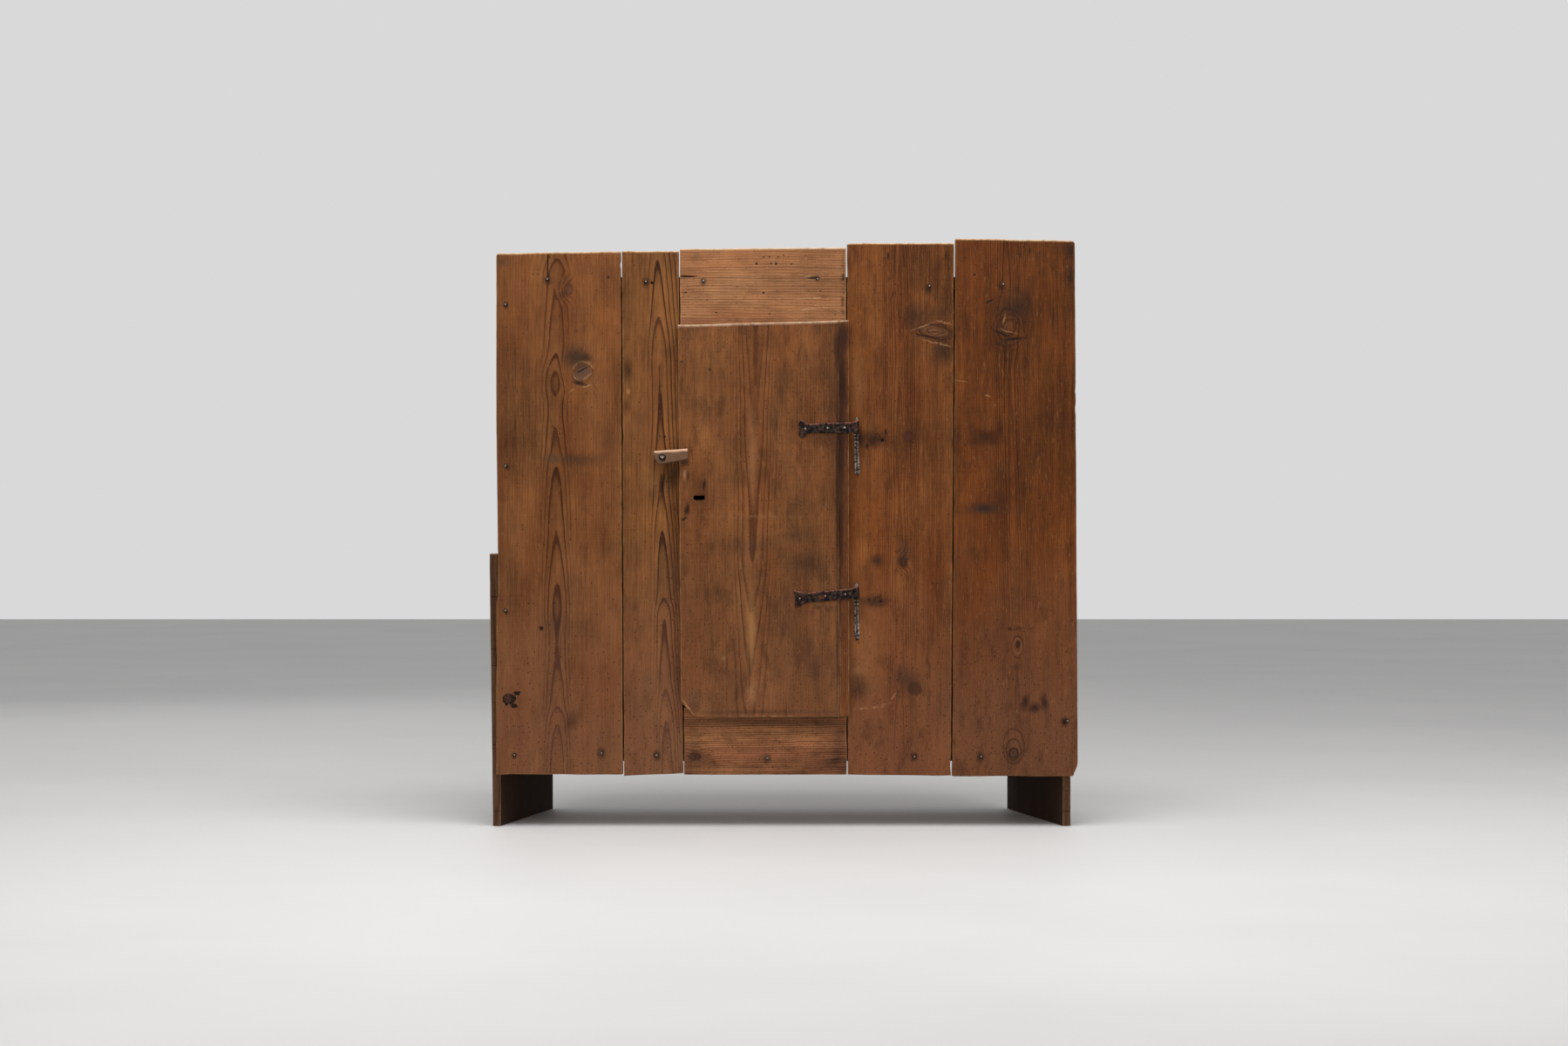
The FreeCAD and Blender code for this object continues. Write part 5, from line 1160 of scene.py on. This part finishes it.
def keyholeLines():
    # the keyhole's sides, measured from the door board's lower left corner, read from the CAD solid's own edges
    low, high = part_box("door_board")
    inner = [
        v.co / toMetres for v in nodes["door_board"].data.vertices
        if abs(v.co.y - low.y) < 1e-5 and 0.4 < (v.co.z - low.z) / (high.z - low.z) < 0.7
    ]
    inside = [p for p in inner if p.x < low.x / toMetres + 80 and p.x > low.x / toMetres + 20]
    left, right = min(p.x for p in inside), max(p.x for p in inside)
    foot, head = min(p.z for p in inside), max(p.z for p in inside)
    corners = slabCorners("door_board", usualBoard["plan"], usualBoard["ways"])
    x0, z0 = corners[0, 0, 0][0], corners[0, 0, 0][2]
    x1, z1 = corners[0, 1, 0][0], corners[0, 1, 0][2]
    lean = (x1 - x0) * ((foot + head) / 2 - z0) / (z1 - z0)
    return left - x0 - lean, right - x0 - lean, foot - z0, head - z0


keyLeft, keyRight, keyFoot, keyHead = keyholeLines()
doorBoard = {
    "board": {
        "node": "door_board", "seed": 7, "faceY": doorFaceY, "arris": 2.8, "step": 7.0, "cup": 0.3, "endWear": 0.8,
        "headHighlightReach": 6.0,
        "corners": [{"side": "low", "end": "foot", "along": 31.0, "across": 29.0}],
        "bites": [
            {"side": "low", "at": 520.0, "half": 40.0, "deep": 1.2},
            {"side": "low", "at": 790.0, "half": 20.0, "deep": 1.5},
        ],
        "cracks": [
            {"seen": [(860, 722), (860, 803)], "wide": 1.0, "deep": 2.2, "taper": 40.0},
            {"seen": [(903, 808), (903, 830)], "wide": 1.0, "deep": 3.0},
        ],
        "hole": {
            "acrossLines": [keyLeft, keyLeft + 1.5, keyLeft + 4, keyRight - 4, keyRight - 1.5, keyRight],
            "alongLines": [keyFoot, keyFoot + 1.2, keyHead - 1.2, keyHead],
            "rounding": [3.2, 1.2, 0.1, 0.1, 1.0, 2.9],
        },
    },
    "look": {
        "tones": doorTones,
        "heart": {"at": -72.6, "lean": 0.014, "deep": 40.0, "depths": [
            (220, 84.0), (300, 80.0), (350, 78.4), (437, 75.0), (500, 72.2), (540, 70.0), (640, 68.6), (700, 67.8),
            (786, 65.0), (880, 63.4), (940, 62.0), (1000, 60.0), (1060, 58.4),
        ]},
        "faded": {
            "along": [(304, 1.16), (415, 0.99), (526, 0.89), (636, 1.03), (746, 0.98), (857, 0.91), (968, 1.06)],
            "across": [(-181, 1.10), (-138, 1.03), (-94, 1.01), (-50, 1.08), (-6, 0.94), (38, 0.90), (82, 0.93)],
        },
        "ringWidth": 5.0, "sway": 8.0, "ripple": 1.5, "streaks": 0.34, "fibres": 0.56, "clouds": 0.76, "aside": 0.32,
        "dusty": 0.25,
        "marks": [
            flaw("#1E120C", 0.9, seen=(808, 556), size=(3.4, 13), turn=10, soft=0.6, ragged=5.0),
            flaw("#1E140E", 0.9, seen=(788.5, 585), size=(6, 15), turn=8, soft=0.7, ragged=9.0),
            flaw("#1E140E", 0.8, seen=(785, 595), size=(8, 4), turn=-20, soft=0.7, ragged=7.0),
            flaw("#A98260", 0.6, seen=(785.5, 545), size=(3.0, 11), soft=0.9, ragged=5.0),
            flaw("#2A1A10", 0.8, seen=(789.5, 546), size=(2.4, 11), soft=0.7, ragged=3.0),
            flaw("#35241A", 0.6, seen=(786, 531), size=(12, 6), soft=1.0, ragged=4.0),
            flaw("#3C2619", 0.4, seen=(801, 574), size=(24, 9), soft=1.2),
            flaw("#1E120B", 0.85, seen=(814, 424), size=(2.4, 3.6), soft=0.6, ragged=2.0, dent=0.6),
            flaw("#1E120B", 0.85, seen=(782, 415), size=(2.4, 3), soft=0.6, ragged=2.0),
            flaw("#47230F", 0.75, seen=(867, 405), size=(7, 60), soft=0.9),
            flaw("#47230F", 0.7, seen=(867, 436), size=(3, 16), soft=0.9, ragged=3.0),
            flaw("#9E7048", 0.42, seen=(863, 520), size=(10, 90), soft=1.3, ragged=7.0),
            flaw("#A97B4A", 0.62, seen=(862, 728), size=(10, 76), soft=1.3, ragged=7.0),
            flaw("#2E1A10", 0.7, seen=(860, 762), size=(1.0, 40), soft=0.8, ragged=2.0, dent=0.5),
            flaw("#A98058", 0.4, seen=(863, 795), size=(12, 26), soft=1.3, ragged=9.0),
            flaw("#463022", 0.42, seen=(872, 625), size=(62, 20), soft=1.2, ragged=24.0),
            flaw("#33231A", 0.62, seen=(921, 646), size=(40, 26), soft=1.2, ragged=22.0),
            flaw("#3E2B1F", 0.4, seen=(915, 615), size=(40, 16), soft=1.3, ragged=20.0),
            flaw("#4A3122", 0.4, seen=(897, 432), size=(18, 20), soft=1.3, ragged=16.0),
            flaw("#4E3526", 0.35, seen=(886, 478), size=(16, 30), soft=1.3, ragged=14.0),
            # painted shadow of the upper strap, mixed with dirt
            flaw("#24160F", 0.75, seen=(948, 508), size=(30, 15), soft=1.0, ragged=10.0, specked=True),
            flaw("#2C1C15", 0.45, seen=(945, 503), size=(34, 14), soft=1.2, ragged=14.0),
            flaw("#3A2217", 0.45, seen=(955, 480), size=(12, 200), soft=1.4, ragged=8.0),
            # painted shadow below the lower strap
            flaw("#261812", 0.65, seen=(940, 699), size=(42, 9), turn=-3, soft=1.1, ragged=10.0, broken=True),
            flaw("#4A3224", 0.35, seen=(940, 770), size=(24, 40), soft=1.4, ragged=16.0),
            flaw("#4C3426", 0.35, seen=(790, 388), size=(20, 26), soft=1.4),
            flaw("#9C7350", 0.28, seen=(860, 592), size=(120, 5), turn=1, soft=1.2, ragged=8.0, broken=True),
            flaw("#5E4434", 0.5, seen=(795, 800), size=(16, 18), soft=1.2, ragged=8.0),
            # painted shade along the door's lower arris
            flaw("#3A281D", 0.5, seen=(874, 817), size=(160, 5), soft=1.2),
            flaw("#9C7350", 0.5, seen=(830, 755), size=(4, 4), soft=0.9),
        ],
        "stains": [
            flaw("#2A1712", 0.85, seen=(960.5, 400), size=(7, 60), soft=0.9, ragged=5.0),
            flaw("#26140F", 0.85, seen=(961, 550), size=(4.6, 250), soft=0.8, ragged=4.0),
            flaw("#33201A", 0.7, seen=(961, 745), size=(3.4, 120), soft=0.8, ragged=3.0),
            flaw("#B58A60", 0.7, seen=(791, 814), size=(24, 2.2), turn=55, soft=0.8, ragged=4.0),
            flaw("#3E2A20", 0.5, seen=(797, 811), size=(14, 12), soft=1.2, ragged=8.0),
            # painted highlight along the door's lower arris
            flaw("#A98260", 0.4, seen=(880, 821.5), size=(150, 1.3), soft=0.8, broken=True),
        ],
        "dampFrom": 720,
    },
}
edgeStrip = {
    "board": {"node": "door_edge_strip", "seed": 8, "faceY": doorFaceY, "arris": 2.4, "step": 5.0},
    "look": {
        "tones": {**doorTones, "early": "#6D4123", "earlyWarm": "#603418", "rubbed": "#9A724C"},
        "heart": {"at": 63.4, "depths": [(220, 52.0), (600, 56.0), (1060, 54.0)]},
        "faded": {
            "along": [(299, 1.30), (411, 1.15), (522, 1.03), (633, 0.99), (745, 0.80), (856, 0.61), (967, 0.99)],
        },
        "ringWidth": 4.0, "sway": 3.0, "ripple": 0.8,
        "marks": [
            flaw("#3A1E12", 0.4, seen=(968, 560), size=(4, 240), soft=1.2),
        ],
        "stains": [
            flaw("#301A14", 0.85, seen=(966, 388), size=(16, 34), soft=0.6, ragged=7.0),
            flaw("#29140E", 0.88, seen=(965.5, 440), size=(12, 80), soft=0.7, ragged=7.0),
            flaw("#29140E", 0.85, seen=(964.5, 520), size=(8, 90), soft=0.7, ragged=5.0),
            flaw("#2E1710", 0.85, seen=(964.5, 610), size=(6, 110), soft=0.7, ragged=4.0),
            flaw("#2E1A12", 0.7, seen=(963.5, 690), size=(5, 60), soft=0.9, ragged=4.0),
            flaw("#3A2418", 0.55, seen=(962, 770), size=(3, 90), soft=0.9, ragged=3.0),
        ],
        "rubbed": 0.8,
    },
}
for entry in (doorBoard, edgeStrip):
    pineBoard(entry["board"], entry["look"], "door")
print("door boards made")

# Carcass and inside. These planks were never waxed inside, so they are drier and duller.
# in both tables below, head is the colour of the painted highlight along each upper arris
plainTones = {
    "early": "#674834", "earlyWarm": "#5C3E2B", "late": "#402817", "rubbed": "#846650", "end": "#564032",
    "grime": "#3A281B", "scuff": "#8A6746", "head": "#8F6C4A",
}
insideTones = {
    "early": "#866245", "earlyWarm": "#7A573B", "late": "#573B27", "rubbed": "#9C7F60", "end": "#6B5140",
    "grime": "#4A3626", "scuff": "#9A7C5C", "head": "#9C7F60",
}
# how each kind of board lies: its plan, then its ways across the grain, along it and into the wood
lying = {
    "left side": {"plan": "xy", "ways": ("+y", "+z", "+x")},
    "right side": {"plan": "xy", "ways": ("+y", "+z", "-x")},
    "level": {"plan": "xy", "ways": ("+y", "+x", "-z")},
    "left cleat": {"plan": "xy", "ways": ("+z", "+y", "-x")},
    "right cleat": {"plan": "xy", "ways": ("+z", "+y", "+x")},
    "ledge": {"plan": "xz", "ways": ("+z", "+x", "-y")},
    "back": {"plan": "xz", "ways": ("+x", "+z", "-y")},
}
plainBoards = [
    {"node": "left_foot_plank", "lies": "left side", "tones": plainTones, "tapered": True, "shadedSide": 1.0},
    {"node": "left_side_board", "lies": "left side", "tones": plainTones},
    {"node": "right_side_board", "lies": "right side", "tones": plainTones, "shadedSide": -1.0},
    {"node": "bottom_shelf", "lies": "level", "tones": insideTones},
    {"node": "middle_shelf", "lies": "level", "tones": insideTones},
    {"node": "top_board", "lies": "level", "tones": plainTones},
    {"node": "left_shelf_cleat", "lies": "left cleat", "tones": insideTones},
    {"node": "right_shelf_cleat", "lies": "right cleat", "tones": insideTones},
    {"node": "upper_door_ledge", "lies": "ledge", "tones": insideTones, "body": "door", "slot": "door_pine"},
    {"node": "lower_door_ledge", "lies": "ledge", "tones": insideTones, "body": "door", "slot": "door_pine"},
    *({"node": f"back_board_{number}", "lies": "back", "tones": insideTones} for number in range(1, 6)),
]


def makePlainBoard(entry, number):
    # its heart wanders off to one side, so that every board gets flames of its own
    ways = lying[entry["lies"]]["ways"]
    low, high = ([value / toMetres for value in corner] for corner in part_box(entry["node"]))
    across, along, inward = ("xyz".index(way[1]) for way in ways)
    run = high[along] - low[along]
    even = number % 2 == 0
    depths = [(low[along] - 20, 52.0)]
    for step in range(1, 8):
        rise = 46.0 * step / 8 + 2.2 * math.sin(step * 2.3 + number)
        depths.append((low[along] + run * step / 8, 52.0 + rise * (-0.4 if even else 1)))
    depths.append((high[along] + 20, 33.0 if even else 98.0))
    look = {
        "tones": entry["tones"], "face": low[inward],
        "heart": {"at": low[across] + (high[across] - low[across]) * (0.38 + 0.09 * (number % 4)), "depths": depths},
        "ringWidth": 4.2 + 0.3 * (number % 3), "sway": 10.0, "clouds": 0.32, "gloss": 0.8, "matt": 0.95,
        "shadedSide": entry.get("shadedSide", 0.0),
    }
    board = {"node": entry["node"], **lying[entry["lies"]], "seed": number + 20, "step": 14.0, "arris": 1.4,
             "tapered": entry.get("tapered", False)}
    pineBoard(board, look, entry.get("body", "carcass"))


for number, entry in enumerate(plainBoards):
    makePlainBoard(entry, number)
print("carcass and inside boards made")


# Wrought iron, forged black from the fire: grey-black scale with rust in the hollows and bright rubbed high spots, with
# painted highlights on nail heads and edges and painted shade in the necks
ironPatterns = {             # cell size in millimetres, then detail and roughness
    "hammer": ((7, 7, 7), 2.0, 0.5),
    "pits": ((1.3, 1.3, 1.3), 4.0, 0.65),
    "rust": ((11, 11, 11), 4.0, 0.6),
    "mottle": ((7, 7, 7), 5.0, 0.75),
    "rub": ((4, 4, 4), 3.0, 0.6),
}


def makeIron(name, look):
    material, tree = newMaterial(name)
    place, scaled = addPlace(tree)
    patterns = addPatterns(tree, scaled, ironPatterns)
    span = {"From Min": look["rustFrom"], "From Max": look["rustFrom"] + 0.12}
    rust = addNode(tree, "MapRange", span, {"Value": patterns["rust"]})
    mottle = addNode(tree, "MapRange", {"From Min": 0.4, "From Max": 0.53}, {"Value": patterns["mottle"]})
    scale, rusty = (
        addNode(tree, "Mix", {"data_type": "RGBA", 6: srgb(look[tone]), 7: srgb(look[tone + "Dark"])}, {0: mottle})
        for tone in ("scale", "rust")
    )
    body = addNode(tree, "Mix", {"data_type": "RGBA"}, {0: rust, 6: scale.outputs[2], 7: rusty.outputs[2]})
    span = {"From Min": look["brightFrom"], "From Max": look["brightFrom"] + 0.08, "To Max": 0.85}
    bare = addNode(tree, "MapRange", span, {"Value": patterns["rub"]})
    # painted highlight: the part of each nail head that faces the front is made bright, sharing the bright tone with
    # the rubbed spots
    facing = addNode(tree, "SeparateXYZ", {}, {0: place.outputs["Normal"]})
    forward = addNode(tree, "Math", {"operation": "MULTIPLY", 1: -1.0}, {0: facing.outputs[1]})
    span = {"From Min": look["glintFrom"], "From Max": 1.0, "To Max": look["glint"]}
    glint = addNode(tree, "MapRange", span, {"Value": forward})
    rubbed = addNode(tree, "Math", {"operation": "MAXIMUM"}, {0: bare, 1: glint})
    # painted highlight along the upper edges of the straps and both sides of the bars, in broken lengths, and painted
    # shade in the hollows of the turned necks
    outline, hollowShade = (
        addNode(tree, "Attribute", {"attribute_name": title}).outputs["Fac"] for title in ("outline", "hollowShade")
    )
    span = {"From Min": 0.42, "From Max": 0.56, "To Max": look["rim"]}
    lengths = addNode(tree, "MapRange", span, {"Value": patterns["rub"]})
    rim = addNode(tree, "Math", {"operation": "MULTIPLY"}, {0: outline, 1: lengths})
    colour = body.outputs[2]
    for share, tone in ((rubbed, look["bright"]), (rim, look["rimHighlightTone"]), (hollowShade, "#0A0706")):
        colour = addNode(tree, "Mix", {"data_type": "RGBA", 7: srgb(tone)}, {0: share, 6: colour}).outputs[2]
    dull = addNode(tree, "MapRange", {"To Min": look["metal"], "To Max": 0.1}, {"Value": rust})
    metallic = addNode(tree, "Math", {"operation": "MAXIMUM"}, {0: dull, 1: rubbed})
    rough = addNode(tree, "MapRange", {"To Min": 0.42, "To Max": 0.85}, {"Value": rust})
    smoother = addNode(tree, "Math", {"operation": "MULTIPLY_ADD", 1: -0.14}, {0: rubbed, 2: rough})
    waves = addNode(tree, "Math", {"operation": "MULTIPLY", 1: 0.9}, {0: patterns["hammer"]})
    height = addNode(tree, "Math", {"operation": "MULTIPLY_ADD", 1: 0.3}, {0: patterns["pits"], 2: waves})
    addSurface(tree, height, {"Specular IOR Level": 0.12},
               {"Base Color": colour, "Metallic": metallic, "Roughness": smoother})
    return material


ironLook = {
    "scale": "#44322A", "scaleDark": "#080605", "rust": "#6A3A28", "rustDark": "#1E100B", "bright": "#9A8472",
    "rustFrom": 0.56, "brightFrom": 0.68, "glint": 0.0, "glintFrom": 0.9, "rim": 0.8, "rimHighlightTone": "#96604E",
    "metal": 0.25,
}
barLook = {
    **ironLook, "scale": "#574C44", "scaleDark": "#1C1714", "bright": "#B8ADA2", "brightFrom": 0.64, "rim": 0.75,
    "rimHighlightTone": "#B4A89C", "metal": 0.45, "rustFrom": 0.6,
}
# glint paints a highlight on the front of each nail head
nailLook = {
    **ironLook, "scale": "#2C1E18", "bright": "#A89886", "brightFrom": 0.64, "glint": 0.75, "glintFrom": 0.94,
    "rim": 0.0,
}
strapNailLook = {**nailLook, "bright": "#C8BAAC", "brightFrom": 0.66, "glint": 0.85, "glintFrom": 0.97}
irons = {
    "strap": makeIron("forged iron", ironLook),
    "bar": makeIron("worn grey iron of the pintles", barLook),
    "nail": makeIron("nail iron", nailLook),
    "strap nail": makeIron("rubbed and glinting nail iron of the straps", strapNailLook),
}


def outlineShares(at, outlined):
    # how near each point is to the upper edge of a strap, or to either side of an upright bar, and how deep it
    # lies in the hollows of the bar's neck
    # these shares place the painted highlight along those edges and the painted shade in the neck's hollows
    run, rise = (0, 2) if outlined == "upper" else (2, 0)
    bins = np.round(at[:, run]).astype(int)
    bins -= bins.min()
    top, foot = np.full(bins.max() + 1, -1e9), np.full(bins.max() + 1, 1e9)
    np.maximum.at(top, bins, at[:, rise])
    np.minimum.at(foot, bins, at[:, rise])
    gap = top[bins] - at[:, rise]
    shares = {}
    if outlined == "sides":
        gap = np.minimum(gap, at[:, rise] - foot[bins])
        width = top - foot
        swell = np.max([np.roll(width, shift) for shift in range(-4, 5)], axis=0)
        shares["hollowShade"] = np.clip((swell - width)[bins] / 3.0, 0, 0.9)
    shares["outline"] = np.clip(1.4 - gap / 3.2, 0, 1)
    return shares


def forgedPiece(node, material, bodyName, cell, hammer, seed, outlined=None):
    # the CAD solid wrapped in a fine even skin, then beaten and pitted
    mesh = nodes[node].data.copy()
    mesh.materials.clear()
    name = node.replace("_", "-")
    obj = bpy.data.objects.new(name, mesh)
    bpy.context.collection.objects.link(obj)
    skin = obj.modifiers.new("skin", "REMESH")
    skin.mode = "VOXEL"
    skin.voxel_size = cell * toMetres
    even = obj.modifiers.new("even", "SMOOTH")
    even.factor = 0.5
    even.iterations = 2
    fine = bpy.data.meshes.new_from_object(obj.evaluated_get(bpy.context.evaluated_depsgraph_get()))
    obj.modifiers.clear()
    obj.data = fine
    obj.data.name = name
    points, normals = np.empty((2, len(fine.vertices) * 3))
    fine.vertices.foreach_get("co", points)
    fine.vertices.foreach_get("normal", normals)
    points, normals = points.reshape(-1, 3), normals.reshape(-1, 3)
    at = points / toMetres
    push = hammer["deep"] * (smoothNoise(at / hammer["size"], seed) - 1)
    push += hammer["pits"] * (smoothNoise(at / 1.6, seed + 1) - 1)
    points = points + normals * push[:, None] * toMetres
    fine.vertices.foreach_set("co", points.ravel())
    if outlined:
        for title, share in outlineShares(at, outlined).items():
            layer = fine.attributes.new(title, "FLOAT", "POINT")
            layer.data.foreach_set("value", share.astype(np.float32))
    fine.update()
    fine.shade_smooth()
    fine.materials.clear()
    fine.materials.append(material)
    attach(obj, bodyName)
    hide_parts(node)


# Each piece's body, its iron, and the cell of its skin in millimetres
strapHammer = {"deep": 0.7, "size": 9.0, "pits": 0.16}
barHammer = {"deep": 0.5, "size": 6.0, "pits": 0.14}
nailHammer = {"deep": 0.9, "size": 5.0, "pits": 0.12}
hingePieces = {
    "upper_hinge_strap": ("door", "strap", 0.8, strapHammer, "upper"),
    "lower_hinge_strap": ("door", "strap", 0.8, strapHammer, "upper"),
    "upper_hinge_pintle": ("carcass", "bar", 0.7, barHammer, "sides"),
    "lower_hinge_pintle": ("carcass", "bar", 0.7, barHammer, "sides"),
}
nailPieces = {
    "front_nails": ("carcass", "nail", 0.8),
    "pintle_nails": ("carcass", "strap nail", 0.5),
    "turn_button_nail": ("carcass", "nail", 0.6),
    "upper_strap_nails": ("door", "strap nail", 0.5),
    "lower_strap_nails": ("door", "strap nail", 0.5),
    "ledge_nails": ("door", "nail", 0.9),
    "back_nails": ("carcass", "nail", 1.0),
    "side_nails": ("carcass", "nail", 1.0),
    "foot_plank_nails": ("carcass", "nail", 1.0),
    "cleat_nails": ("carcass", "nail", 1.0),
}
for number, (node, (body, iron, cell, hammer, outlined)) in enumerate(hingePieces.items()):
    forgedPiece(node, irons[iron], body, cell, hammer, 60 + number, outlined)
for number, (node, (body, iron, cell)) in enumerate(nailPieces.items()):
    forgedPiece(node, irons[iron], body, cell, nailHammer, 80 + number)
print("ironwork made")


# Bare whittled wood, greyed and greasy from fingers, with a painted highlight on its upper faces, as if lit from above
buttonLook = {"early": "#745338", "late": "#4C3422", "greyed": "#715440", "cut": "#D9AC8C", "relief": 0.25}
buttonPatterns = {"fibre": ((26, 1.3, 1.3), 4.0, 0.6), "cloud": ((12, 12, 12), 3.0, 0.5)}


def makeButtonWood(look):
    material, tree = newMaterial("whittled button wood")
    place, scaled = addPlace(tree)
    patterns = addPatterns(tree, scaled, buttonPatterns)
    tones = {6: srgb(look["early"]), 7: srgb(look["late"])}
    tone = addNode(tree, "Mix", {"data_type": "RGBA", **tones}, {0: patterns["fibre"]})
    span = {"From Min": 0.35, "From Max": 0.65, "To Max": 0.5}
    clouded = addNode(tree, "MapRange", span, {"Value": patterns["cloud"]})
    # painted highlight on the faces that point up, turning with the button
    upward = addNode(tree, "SeparateXYZ", {}, {0: place.outputs["Normal"]})
    span = {"From Min": 0.35, "From Max": 0.62, "To Max": 0.85}
    cut = addNode(tree, "MapRange", span, {"Value": upward.outputs[2]})
    colour = tone.outputs[2]
    for share, coat in ((clouded, look["greyed"]), (cut, look["cut"])):
        colour = addNode(tree, "Mix", {"data_type": "RGBA", 7: srgb(coat)}, {0: share, 6: colour}).outputs[2]
    height = addNode(tree, "Math", {"operation": "MULTIPLY", 1: look["relief"]}, {0: patterns["fibre"]})
    addSurface(tree, height, {"Roughness": 0.6, "IOR": 1.5, "Specular IOR Level": 0.25}, {"Base Color": colour})
    return material


buttonHammer = {"deep": 0.8, "size": 8.0, "pits": 0.1}
forgedPiece("turn_button", makeButtonWood(buttonLook), "turn_button", 0.8, buttonHammer, 95)
print("turn button made")
